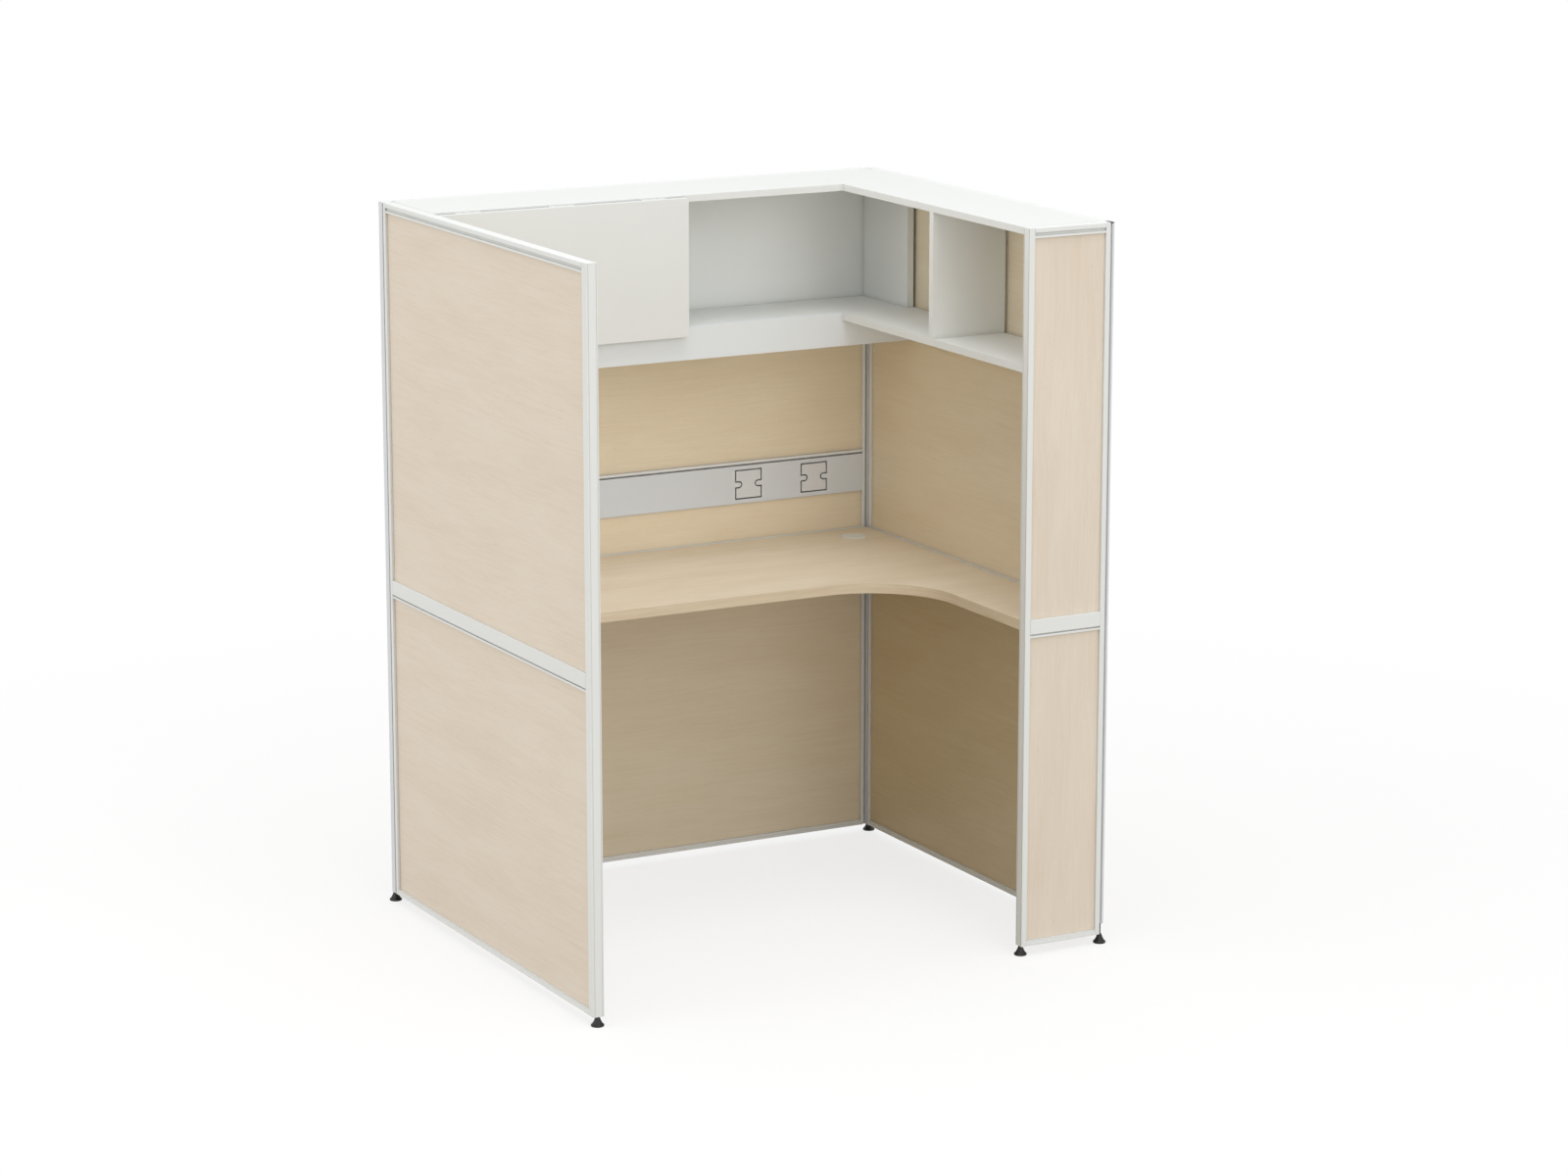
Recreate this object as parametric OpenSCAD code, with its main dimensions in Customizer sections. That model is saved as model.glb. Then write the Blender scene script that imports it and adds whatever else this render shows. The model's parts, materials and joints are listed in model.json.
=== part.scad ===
// Cubicle workstation: framed walls on three sides with a narrow front return,
// an L-shaped worktop, an L-shaped overhead shelf unit with a lift-up flap,
// a power duct above the worktop and five levelling feet.
// Millimetres, +Z up, +X to the right along the back wall, +Y towards the back.
// The origin is on the floor, under the middle of the unit.

/* [Overall] */
// Width across the outer faces of the side walls
unit_w = 1250; // [1100:10:1800]
// Depth from the front face to the outer face of the back wall
unit_d = 1050; // [950:10:1500]
// Height of the walls above the floor
unit_h = 1600; // [1500:10:1900]
// Thickness of every wall
wall_t = 25; // [24:1:30]
// Width of the narrow front wall, with its corner post
wing_w = 212; // [180:1:320]
// Height of the wall frames above the floor
foot_h = 21; // [16:1:30]

/* [Wall frames] */
// Width of the upright profiles beside the panels
stile_w = 11; // [11:1:20]
// Width of the end post at the open front of the left wall
end_post_w = 22; // [18:1:35]
// Width of the end post at the open end of the front wall
wing_post_w = 13; // [12:1:20]
// Width of the slim post at the front right corner
front_post_w = 11; // [11:1:16]
// Radius of the round column in the inner corner of each back corner post
column_r = 8; // [6:0.5:9]
// How much higher the front right corner post ends
short_post_lift = 24; // [0:1:40]
// Wall of the hollow profiles
skin = 1.5; // [1:0.1:1.8]
// Depth of the upright channels that hold the panel edges
channel_d = 3; // [2.5:0.5:4]
// Depth of the channels in the rails
rail_channel_d = 7; // [6:0.5:8]
// Height of the solid cap along the top of the top rails
rail_cap_h = 10; // [8:1:14]
// Height of the shadow groove under the top cap
cap_groove_h = 6.5; // [4:0.5:8]
// Height of the bead that closes a rail over the panel
bead_h = 5; // [4:0.5:7]
// Height of the flat band of the middle rails
mid_band_h = 32; // [28:1:45]
// Height of the shadow groove under the middle band
band_groove_h = 3; // [2:0.5:4]
// Height of the base of the bottom rails
sill_h = 6; // [5:1:10]
// Height of the step above that base
sill_step_h = 6; // [5:1:10]
// Wall left between a shadow groove and the channel behind it
groove_wall = 1.8; // [1.2:0.1:2.5]
// How far beads and steps stand back from the wall face
bead_inset = 1; // [0.5:0.5:1.5]
// Thickness of the wall panels
panel_t = 12; // [10:1:16]

/* [Worktop] */
// Height of the worktop's upper face
worktop_h = 750; // [700:5:780]
// Thickness of the worktop
worktop_t = 22; // [18:1:30]
// Depth of the worktop along the back wall
worktop_d = 515; // [450:5:600]
// Depth of its return along the right wall, from the wall's inner face
return_d = 187; // [155:1:260]
// Radius of the curve between the two
curve_r = 205; // [100:5:240]
// Thickness of the edging strip on the worktop's front
edging_t = 2; // [1:0.5:3]
// How far the middle rails stand above the worktop
rail_over_top = 2; // [0:0.5:4]
// Diameter of the cable outlet's flange
outlet_d = 61; // [56:1:80]
// Distance from the outlet's centre to both walls
outlet_inset = 82; // [60:1:150]

/* [Power duct] */
// Height of the duct's lower edge above the worktop
duct_above = 88; // [50:1:150]
// Height of the duct
duct_h = 100; // [90:1:140]
// Height of the lip above the duct's cover
duct_lip_h = 6; // [4:0.5:10]
// Height of the shadow slot between that lip and the cover
duct_slot_h = 4; // [2:0.5:6]
// Side of the square socket blanks
blank_w = 64; // [56:1:70]
// Gap round the socket blanks
blank_gap = 3; // [1:0.5:4]
// Distance from the first blank's centre to the right wall
blank_inset = 144; // [80:1:300]
// Distance between blank centres
blank_pitch = 173; // [110:1:300]

/* [Overhead unit] */
// Depth of the unit along the back wall
hutch_back_d = 212; // [180:1:300]
// Depth of the unit along the right wall
hutch_side_d = 186; // [155:1:260]
// Thickness of the top board
top_t = 15; // [14:1:22]
// Thickness of the shelf, uprights, valance and flap
board_t = 16; // [15:1:20]
// Height of the shelf's upper face
shelf_h = 1305; // [1150:5:1400]
// Height of the valance, up to the shelf's upper face
valance_h = 76; // [50:1:120]
// Thickness of the back board
back_board_t = 5; // [3:1:8]
// Distance from the left wall to the right edge of the flap
flap_reach = 612; // [400:1:800]
// How far the flap's upper edge ends below the top board's upper face
flap_under_top = 4; // [4:0.5:6]
// How far the flap hangs below the shelf's upper face
flap_drop = 20; // [5:1:40]
// Distance from the front face to the upright of the side run
side_upright_y = 407; // [300:1:600]

/* [Hidden] */

$fn = 48;

// Overrun of every cut past the face it opens
overrun = 1;
// Play between a fixed piece and the channel or pocket that holds it
play = 0.2;
// Play between boards and the walls around them
board_play = 0.5;
// Radius of the long edges of the profiles
edge_r = 1;

frame_colour = [0.93, 0.94, 0.94];
post_colour = [0.80, 0.82, 0.82];
maple_colour = [0.87, 0.80, 0.69];
desk_colour = [0.88, 0.80, 0.66];
board_colour = [0.88, 0.89, 0.87];
duct_colour = [0.76, 0.77, 0.77];
metal_colour = [0.66, 0.67, 0.68];
black_colour = [0.08, 0.08, 0.08];

// Places of the inner faces, seen from the front left floor corner
inner_x = unit_w - wall_t;
inner_y = unit_d - wall_t;
channel_w = panel_t + 2 * play;
groove_depth = (wall_t - channel_w) / 2 - groove_wall;
wing_x = unit_w - wing_w;

// Back corner posts: how far the round column's axis lies behind the walls' inner faces,
// so that its crown just fills the corner between them
column_set = 6;
column_axis = wall_t - column_set;
corner_w = column_axis + column_r;
corner_round = 5;
post_groove_w = 4;
post_groove_d = 3.5;
post_bore_d = 9;

// How an upright beside that column is cut back, along the wall and in its thickness
notch_reach = 5;
corner_notch = [notch_reach, column_set];
no_notch = [0, 0];

// Stretches between the uprights of each wall
left_span = [end_post_w, unit_d - corner_w - stile_w];
back_span = [corner_w + stile_w, unit_w - corner_w - stile_w];
right_span = [wall_t + stile_w, unit_d - corner_w - stile_w];
wing_span = [wing_post_w, wing_w - front_post_w - stile_w];

// Heights of the rails
mid_top = worktop_h + rail_over_top;
mid_low = mid_top - mid_band_h - band_groove_h - bead_h;
top_rail_h = rail_cap_h + cap_groove_h + bead_h;
top_low = unit_h - top_rail_h;
sill_top = foot_h + sill_h + sill_step_h;
duct_low = worktop_h + duct_above;
duct_top = duct_low + duct_h;

// Caps, and the two fine flutes down the end face of an end post
cap_t = 1.5;
cap_plug_h = 6;
flute_w = 1.2;
flute_d = 0.5;
flute_in = 3.5;

// Levelling feet
foot_base_d = 28;
foot_edge_h = 4;
foot_neck_d = 9;
foot_gap = 0.3;
stem_d = 5;
stem_reach = 50;
socket_h = 30;
stem_play = 0.1;

// Places of the feet, under the posts' chambers and bores
corner_axis = 7;
left_foot_place = [wall_t / 2, corner_axis];
wing_foot_place = [wing_x + (wing_post_w - channel_d) / 2, wall_t / 2];

// Worktop supports
bracket_t = 3;
bracket_w = 20;
bracket_h = 110;
bracket_toe_h = 15;
bracket_reach = 400;
bracket_short_of_edge = 43;
side_bracket_reach = return_d - bracket_short_of_edge;
screw_d = 4;
screw_head_d = 8;
screw_head_h = 2.5;
screw_l = 16;
screw_from_notch = 3;
back_screw_in = corner_w + notch_reach + screw_from_notch - wall_t - edge_r;
side_screw_in = stile_w / 2 - edge_r;
bracket_screw_low = 30;
stile_screw_depth = 4;
bracket_screw_row = (bracket_w - bracket_t) / 2;
bracket_screw_zs = [for (k = [1, 2]) worktop_h - worktop_t - k * bracket_screw_low];
function bracket_screw_xs(reach) = [reach / 4, reach - 2 * bracket_toe_h];
worktop_screw_places = concat(
    [for (x = bracket_screw_xs(bracket_reach))
        [wall_t + edge_r + bracket_screw_row, inner_y - x]],
    [for (x = bracket_screw_xs(bracket_reach))
        [inner_x - edge_r - bracket_screw_row, inner_y - x]],
    [for (x = bracket_screw_xs(side_bracket_reach))
        [inner_x - x, wall_t + edge_r + bracket_screw_row]]
);

// Cable outlet
outlet_place = [inner_x - outlet_inset, inner_y - outlet_inset];
outlet_lip_t = 2.5;
outlet_lip_w = 4;
outlet_wall = 2;
outlet_hole_d = outlet_d - 2 * outlet_lip_w;
outlet_ledge_w = 2;
outlet_ledge_t = 2;
lid_t = 3;
lid_pull_w = 18;
lid_pull_depth = 1.2;

// Power duct
duct_skin = 2;
duct_rim = 1;
duct_slot_d = 5;
cover_t = 2;
cover_gap = 1.5;
cover_h = duct_h - duct_lip_h - duct_slot_h - cover_gap;
cover_tongue_t = 1.2;
cover_tongue_d = 6;
duct_inner = [rail_channel_d + duct_skin, duct_h - duct_lip_h - duct_slot_h - duct_skin];
duct_mouth = [duct_inner[0] + duct_rim, duct_inner[1] - duct_rim];
blank_t = 2;
blank_z = cover_gap + cover_h / 2;
blank_boss_w = 30;
blank_boss_wall = 2;
notch_r = 8.5;
notch_in = 7;
blank_xs = [for (k = [0, 1]) inner_x - blank_inset - k * blank_pitch];

// Overhead unit
hutch_y = inner_y - hutch_back_d;
hutch_x = inner_x - hutch_side_d;
board_low = unit_h - top_t;
flap_right = wall_t + flap_reach;
flap_overlap = board_t / 2;
bay_upright_x = flap_right - flap_overlap;
dowel_d = 8;
dowel_half = 11;
dowel_from_edge = 40;
dowel_play = 0.05;

// Flap and its hinges
leaf_t = 1.5;
leaf_gap = 0.4;
knuckle_r = 2.5;
pin_d = 2;
pin_play = 0.1;
knuckle_play = 0.4;
hinge_w = 60;
knuckle_w = hinge_w / 3;
hinge_from_end = 80;
flap_leaf_h = 20;
flap_play = 3;
flap_above_axis = 1;
flap_stand = 2 * leaf_t + leaf_gap;
axis_y = hutch_y - flap_stand / 2;
axis_z = unit_h - flap_under_top - flap_above_axis;
flap_back = axis_y - flap_stand / 2;
flap_leaf_face = flap_back + leaf_t;
flap_left = wall_t + flap_play;
flap_w = flap_right - flap_left;
flap_low = shelf_h - flap_drop;
flap_top = axis_z + flap_above_axis;
hinge_xs = [
    flap_left + hinge_from_end,
    flap_left + flap_w / 2,
    flap_right - hinge_from_end
];
hinge_screw_d = 3;
hinge_screw_head_d = 5.6;
hinge_screw_l = 10;
hinge_screw_in = 15;
frame_screw_low = 10;
flap_screw_low = 12;

// Plan places that the dowels share: one row for each upright
upright_rows = [
    [[wall_t + board_play + board_t / 2, hutch_y + dowel_from_edge],
     [wall_t + board_play + board_t / 2, inner_y - back_board_t - dowel_from_edge]],
    [[bay_upright_x + board_t / 2, hutch_y + dowel_from_edge],
     [bay_upright_x + board_t / 2, inner_y - back_board_t - dowel_from_edge]],
    [[inner_x - board_play - board_t / 2, hutch_y + dowel_from_edge],
     [inner_x - board_play - board_t / 2, inner_y - back_board_t - dowel_from_edge]],
    [[hutch_x + dowel_from_edge, side_upright_y + board_t / 2],
     [inner_x - board_play - dowel_from_edge, side_upright_y + board_t / 2]]
];

// Moves the model from the front left floor corner to its origin
module placed() {
    translate([-unit_w / 2, -unit_d / 2, 0]) children();
}

// Wall frames of reference: first axis along the wall, second from outer to inner face
module on_left() { placed() rotate([0, 0, 90]) mirror([0, 1, 0]) children(); }
module on_back() { placed() translate([0, unit_d, 0]) mirror([0, 1, 0]) children(); }
module on_right() { placed() translate([unit_w, 0, 0]) rotate([0, 0, 90]) children(); }
module on_wing() { placed() translate([wing_x, 0, 0]) children(); }

// Rectangle with true round corners
module rounded(w, h, r) {
    translate([r, 0]) square([w - 2 * r, h]);
    translate([0, r]) square([w, h - 2 * r]);
    for (x = [r, w - r], y = [r, h - r]) translate([x, y]) circle(r);
}

// Section drawn in wall thickness and height, run along the wall
module run_along(span) {
    translate([span[0], 0, 0]) rotate([90, 0, 90]) linear_extrude(span[1] - span[0]) children();
}

// What the notch for a corner post's column takes off an upright
module notch_cut(notch) {
    if (notch[0] > 0) translate([-overrun, wall_t - notch[1]])
        square([notch[0] + overrun, notch[1] + overrun]);
}

// Section of an upright with its panel channel on the right-hand side
module upright_section(w, notch) {
    difference() {
        rounded(w, wall_t, edge_r);
        translate([w - channel_d, (wall_t - channel_w) / 2])
            square([channel_d + overrun, channel_w]);
        translate([skin, skin])
            square([w - channel_d - 2 * skin, wall_t - 2 * skin - notch[1]]);
        notch_cut(notch);
    }
}

module upright(w, notch) {
    translate([0, 0, foot_h]) linear_extrude(unit_h - cap_t - foot_h) upright_section(w, notch);
}

// End post: an upright with two fine flutes down its open end face
module end_upright(w) {
    difference() {
        upright(w, no_notch);
        for (v = [flute_in, wall_t - flute_in])
            translate([-overrun, v - flute_w / 2, foot_h - overrun])
                cube([flute_d + overrun, flute_w, unit_h]);
    }
}

// The same upright with its channel facing back along the wall
module facing_back(end) {
    translate([end, 0, 0]) mirror([1, 0, 0]) children();
}

// Hollow in a rail's section, above its lower channel
module rail_cavity(h) {
    side = groove_depth + skin;
    translate([side, rail_channel_d + 2 * skin]) square([wall_t - 2 * side, h]);
}

module top_rail(span) {
    color(frame_colour) translate([0, 0, top_low]) run_along(span) difference() {
        union() {
            translate([0, bead_h + cap_groove_h]) rounded(wall_t, rail_cap_h, edge_r);
            translate([groove_depth, bead_h])
                square([wall_t - 2 * groove_depth, cap_groove_h + rail_cap_h / 2]);
            translate([bead_inset, 0]) square([wall_t - 2 * bead_inset, bead_h]);
        }
        translate([(wall_t - channel_w) / 2, -overrun])
            square([channel_w, rail_channel_d + overrun]);
        rail_cavity(top_rail_h - rail_channel_d - 4 * skin);
    }
}

module mid_rail(span) {
    band_low = bead_h + band_groove_h;
    rail_h = band_low + mid_band_h;
    color(frame_colour) translate([0, 0, mid_low]) run_along(span) difference() {
        union() {
            translate([0, band_low]) rounded(wall_t, mid_band_h, edge_r);
            translate([groove_depth, bead_h])
                square([wall_t - 2 * groove_depth, band_groove_h + mid_band_h / 2]);
            translate([bead_inset, 0]) square([wall_t - 2 * bead_inset, bead_h]);
        }
        for (low = [-overrun, rail_h - rail_channel_d])
            translate([(wall_t - channel_w) / 2, low])
                square([channel_w, rail_channel_d + overrun]);
        rail_cavity(rail_h - 2 * rail_channel_d - 4 * skin);
    }
}

module bottom_rail(span) {
    rail_h = sill_h + sill_step_h;
    color(frame_colour) translate([0, 0, foot_h]) run_along(span) difference() {
        union() {
            rounded(wall_t, sill_h, edge_r);
            translate([bead_inset, sill_h / 2])
                square([wall_t - 2 * bead_inset, sill_h / 2 + sill_step_h]);
        }
        translate([(wall_t - channel_w) / 2, rail_h - rail_channel_d])
            square([channel_w, rail_channel_d + overrun]);
    }
}

// Panel held in the channels on all four sides
module wall_panel(span, low, high) {
    side_in = channel_d - play;
    color(maple_colour)
        translate([span[0] - side_in, (wall_t - panel_t) / 2, low - rail_channel_d])
            cube([span[1] - span[0] + 2 * side_in, panel_t,
                  high - low + 2 * rail_channel_d - 2 * play]);
}

module lower_panel(span) { wall_panel(span, sill_top, mid_low); }
module upper_panel(span) { wall_panel(span, mid_top, top_low); }

// Left wall
module left_end_post() { color(frame_colour) on_left() end_upright(end_post_w); }
module left_rear_stile() {
    color(frame_colour) on_left() facing_back(unit_d - corner_w) upright(stile_w, corner_notch);
}
module left_top_rail() { on_left() top_rail(left_span); }
module left_mid_rail() { on_left() mid_rail(left_span); }
module left_bottom_rail() { on_left() bottom_rail(left_span); }
module left_upper_panel() { on_left() upper_panel(left_span); }
module left_lower_panel() { on_left() lower_panel(left_span); }

// Back wall, with the duct between two panels above the worktop
module back_left_stile() {
    color(frame_colour) on_back() difference() {
        translate([corner_w, 0, 0]) upright(stile_w, corner_notch);
        for (z = bracket_screw_zs) stile_pilot(wall_t + edge_r + back_screw_in, z);
    }
}
module back_right_stile() {
    color(frame_colour) on_back() difference() {
        facing_back(unit_w - corner_w) upright(stile_w, corner_notch);
        for (z = bracket_screw_zs) stile_pilot(inner_x - edge_r - back_screw_in, z);
    }
}
module back_top_rail() { on_back() top_rail(back_span); }
module back_mid_rail() { on_back() mid_rail(back_span); }
module back_bottom_rail() { on_back() bottom_rail(back_span); }
module back_upper_panel() { on_back() wall_panel(back_span, duct_top, top_low); }
module back_strip_panel() { on_back() wall_panel(back_span, mid_top, duct_low); }
module back_lower_panel() { on_back() lower_panel(back_span); }

// Right wall
module right_front_stile() {
    color(frame_colour) on_right() difference() {
        translate([wall_t, 0, 0]) upright(stile_w, no_notch);
        for (z = bracket_screw_zs) stile_pilot(wall_t + edge_r + side_screw_in, z);
    }
}
module right_rear_stile() {
    color(frame_colour) on_right() facing_back(unit_d - corner_w) upright(stile_w, corner_notch);
}
module right_top_rail() { on_right() top_rail(right_span); }
module right_mid_rail() { on_right() mid_rail(right_span); }
module right_bottom_rail() { on_right() bottom_rail(right_span); }
module right_upper_panel() { on_right() upper_panel(right_span); }
module right_lower_panel() { on_right() lower_panel(right_span); }

// Narrow front wall
module wing_end_post() { color(frame_colour) on_wing() end_upright(wing_post_w); }
module wing_corner_stile() {
    color(frame_colour) on_wing() facing_back(wing_w - front_post_w) upright(stile_w, no_notch);
}
module wing_top_rail() { on_wing() top_rail(wing_span); }
module wing_mid_rail() { on_wing() mid_rail(wing_span); }
module wing_bottom_rail() { on_wing() bottom_rail(wing_span); }
module wing_upper_panel() { on_wing() upper_panel(wing_span); }
module wing_lower_panel() { on_wing() lower_panel(wing_span); }

// Outline of a back corner post, from its outer corner: round outside, and inside
// a round column that stands in the inner corner of the two walls
module back_post_outline() {
    translate([corner_round, 0]) square([corner_w - corner_round, column_axis]);
    translate([0, corner_round]) square([column_axis, corner_w - corner_round]);
    translate([corner_round, corner_round]) circle(corner_round);
    translate([column_axis, column_axis]) circle(column_r);
}

// Outline of the slim front post, which fills the corner for the walls' whole thickness
module front_post_outline() {
    translate([corner_round, 0]) square([front_post_w - corner_round, wall_t]);
    translate([0, corner_round]) square([front_post_w, wall_t - corner_round]);
    translate([corner_round, corner_round]) circle(corner_round);
}

// A post of the given outline, with a groove beside each wall and a bore;
// the post meets the two walls at the given distances from its outer corner
module corner_post(low, meets, bore_d) {
    color(post_colour) translate([0, 0, low]) linear_extrude(unit_h - cap_t - low) difference() {
        children();
        translate([meets[0] - post_groove_w, -overrun])
            square([post_groove_w + overrun, post_groove_d + overrun]);
        translate([-overrun, meets[1] - post_groove_w])
            square([post_groove_d + overrun, post_groove_w + overrun]);
        translate([corner_axis, corner_axis]) circle(d = bore_d);
    }
}
module back_corner_post() {
    corner_post(foot_h, [corner_w, corner_w], post_bore_d) back_post_outline();
}

// Corner frames of reference, each from its outer corner inwards
module at_back_left() { placed() translate([0, unit_d, 0]) mirror([0, 1, 0]) children(); }
module at_back_right() { placed() translate([unit_w, unit_d, 0]) rotate([0, 0, 180]) children(); }
module at_front_right() { placed() translate([unit_w, 0, 0]) mirror([1, 0, 0]) children(); }

module corner_post_back_left() { at_back_left() back_corner_post(); }
module corner_post_back_right() { at_back_right() back_corner_post(); }
module corner_post_front_right() {
    at_front_right() corner_post(foot_h + short_post_lift, [front_post_w, wall_t],
                                 stem_d + 2 * stem_play) front_post_outline();
}

// Cap on an upright: a plate on top and a plug in the chamber
module upright_cap(w, notch) {
    translate([0, 0, unit_h - cap_t]) linear_extrude(cap_t) difference() {
        rounded(w, wall_t, edge_r);
        notch_cut(notch);
    }
    translate([skin + play, skin + play, unit_h - cap_t - cap_plug_h])
        cube([w - channel_d - 2 * skin - 2 * play,
              wall_t - 2 * skin - notch[1] - 2 * play, cap_plug_h + cap_t / 2]);
}

// Cap of a corner post: a plate of the post's outline with a pin in its bore
module corner_cap(pin_w) {
    translate([0, 0, unit_h - cap_t]) linear_extrude(cap_t) children();
    translate([corner_axis, corner_axis, unit_h - cap_t - cap_plug_h])
        cylinder(d = pin_w, h = cap_plug_h + cap_t / 2);
}

module post_caps() {
    color(frame_colour) {
        at_back_left() corner_cap(post_bore_d - 2 * play) back_post_outline();
        at_back_right() corner_cap(post_bore_d - 2 * play) back_post_outline();
        on_left() upright_cap(end_post_w, no_notch);
        on_left() facing_back(unit_d - corner_w) upright_cap(stile_w, corner_notch);
        on_back() translate([corner_w, 0, 0]) upright_cap(stile_w, corner_notch);
        on_back() facing_back(unit_w - corner_w) upright_cap(stile_w, corner_notch);
        on_right() translate([wall_t, 0, 0]) upright_cap(stile_w, no_notch);
        on_right() facing_back(unit_d - corner_w) upright_cap(stile_w, corner_notch);
        on_wing() upright_cap(wing_post_w, no_notch);
        on_wing() facing_back(wing_w - front_post_w) upright_cap(stile_w, no_notch);
    }
}

// The slim post's cap, and the plugs in the other posts' ends that carry the feet's stems
module chamber_socket(w, foot_place) {
    difference() {
        translate([skin + play, skin + play, foot_h])
            cube([w - channel_d - 2 * skin - 2 * play, wall_t - 2 * skin - 2 * play, socket_h]);
        translate([foot_place[0], foot_place[1], foot_h - overrun])
            cylinder(d = stem_d + 2 * stem_play, h = socket_h + 2 * overrun);
    }
}
module round_socket() {
    translate([0, 0, foot_h]) difference() {
        cylinder(d = post_bore_d - 2 * play, h = socket_h);
        translate([0, 0, -overrun])
            cylinder(d = stem_d + 2 * stem_play, h = socket_h + 2 * overrun);
    }
}
module at_corner_axis() { translate([corner_axis, corner_axis, 0]) children(); }
module post_plugs() {
    color(black_colour) {
        at_front_right() corner_cap(stem_d) front_post_outline();
        on_left() chamber_socket(end_post_w, [left_foot_place[1], left_foot_place[0]]);
        on_wing() chamber_socket(wing_post_w, [wing_foot_place[0] - wing_x, wing_foot_place[1]]);
        at_back_left() at_corner_axis() round_socket();
        at_back_right() at_corner_axis() round_socket();
    }
}

// Levelling foot: a cone on a broad base, with its stem
module foot() {
    neck_z = foot_h - foot_gap;
    color(black_colour) rotate_extrude() polygon([
        [0, 0],
        [foot_base_d / 2 - foot_edge_h / 4, 0],
        [foot_base_d / 2, foot_edge_h / 4],
        [foot_base_d / 2, foot_edge_h],
        [foot_neck_d / 2, neck_z],
        [stem_d / 2, neck_z],
        [stem_d / 2, foot_h + stem_reach],
        [0, foot_h + stem_reach]
    ]);
}
module foot_front_left() { placed() translate(left_foot_place) foot(); }
module foot_wing() { placed() translate(wing_foot_place) foot(); }
module foot_back_left() { at_back_left() at_corner_axis() foot(); }
module foot_back_right() { at_back_right() at_corner_axis() foot(); }
module foot_front_right() { at_front_right() at_corner_axis() foot(); }

// Plan of the worktop, with its front edge moved back by the given amount
module worktop_plan(back) {
    left = wall_t + board_play;
    right = inner_x - board_play;
    front = inner_y - worktop_d + back;
    near = wall_t + board_play;
    side = inner_x - return_d + back;
    radius = curve_r + back;
    translate([left, front]) square([right - left, inner_y - board_play - front]);
    translate([side, near]) square([right - side, inner_y - board_play - near]);
    translate([side - radius, front - radius]) difference() {
        square(radius + edging_t);
        circle(radius);
    }
}

module worktop() {
    color(desk_colour) placed() difference() {
        translate([0, 0, worktop_h - worktop_t]) linear_extrude(worktop_t) difference() {
            worktop_plan(edging_t);
            translate(outlet_place) circle(d = outlet_hole_d + 2 * play);
        }
        for (p = worktop_screw_places) translate([p[0], p[1], worktop_h - worktop_t - overrun])
            cylinder(d = screw_d, h = screw_l - bracket_t + overrun);
    }
}

module worktop_edging() {
    color(desk_colour) placed() translate([0, 0, worktop_h - worktop_t])
        linear_extrude(worktop_t) difference() {
            worktop_plan(0);
            worktop_plan(edging_t);
        }
}

// Cantilever bracket under the worktop: reach along the first axis, its plate at the far side
module bracket(reach, screw_in) {
    top = worktop_h - worktop_t;
    difference() {
        union() {
            translate([0, 0, top - bracket_t]) cube([reach, bracket_w, bracket_t]);
            translate([0, 0, top - bracket_h]) cube([bracket_t, bracket_w, bracket_h]);
            translate([0, bracket_w, 0]) rotate([90, 0, 0]) linear_extrude(bracket_t)
                polygon([
                    [0, top], [reach, top], [reach, top - bracket_toe_h],
                    [bracket_toe_h, top - bracket_h], [0, top - bracket_h]
                ]);
        }
        for (x = bracket_screw_xs(reach))
            translate([x, bracket_screw_row, top - bracket_t - overrun])
                cylinder(d = screw_d + 2 * play, h = bracket_t + 2 * overrun);
        for (z = bracket_screw_zs) translate([-overrun, screw_in, z])
            rotate([0, 90, 0]) cylinder(d = screw_d + 2 * play, h = bracket_t + 2 * overrun);
    }
}

// Frames of reference of the three brackets
module at_left_bracket() {
    translate([wall_t + edge_r, inner_y, 0]) rotate([0, 0, -90]) children();
}
module at_right_bracket() {
    translate([inner_x - edge_r, inner_y, 0]) rotate([0, 0, -90]) mirror([0, 1, 0]) children();
}
module at_side_bracket() {
    translate([inner_x, wall_t + edge_r, 0]) mirror([1, 0, 0]) children();
}

module worktop_brackets() {
    color(metal_colour) placed() {
        at_left_bracket() bracket(bracket_reach, back_screw_in);
        at_right_bracket() bracket(bracket_reach, back_screw_in);
        at_side_bracket() bracket(side_bracket_reach, side_screw_in);
    }
}

module pan_screw(length) {
    cylinder(d = screw_d - play, h = length);
    translate([0, 0, -screw_head_h]) cylinder(d = screw_head_d, h = screw_head_h);
}
module bracket_screws(reach, screw_in) {
    top = worktop_h - worktop_t;
    for (x = bracket_screw_xs(reach)) translate([x, bracket_screw_row, top - bracket_t])
        pan_screw(screw_l - play);
    for (z = bracket_screw_zs) translate([bracket_t, screw_in, z])
        rotate([0, -90, 0]) pan_screw(bracket_t + stile_screw_depth);
}
// Hole through the inner skin of an upright for a bracket screw
module stile_pilot(u, z) {
    translate([u, wall_t + overrun, z]) rotate([90, 0, 0])
        cylinder(d = screw_d, h = stile_screw_depth + play + overrun);
}

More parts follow.
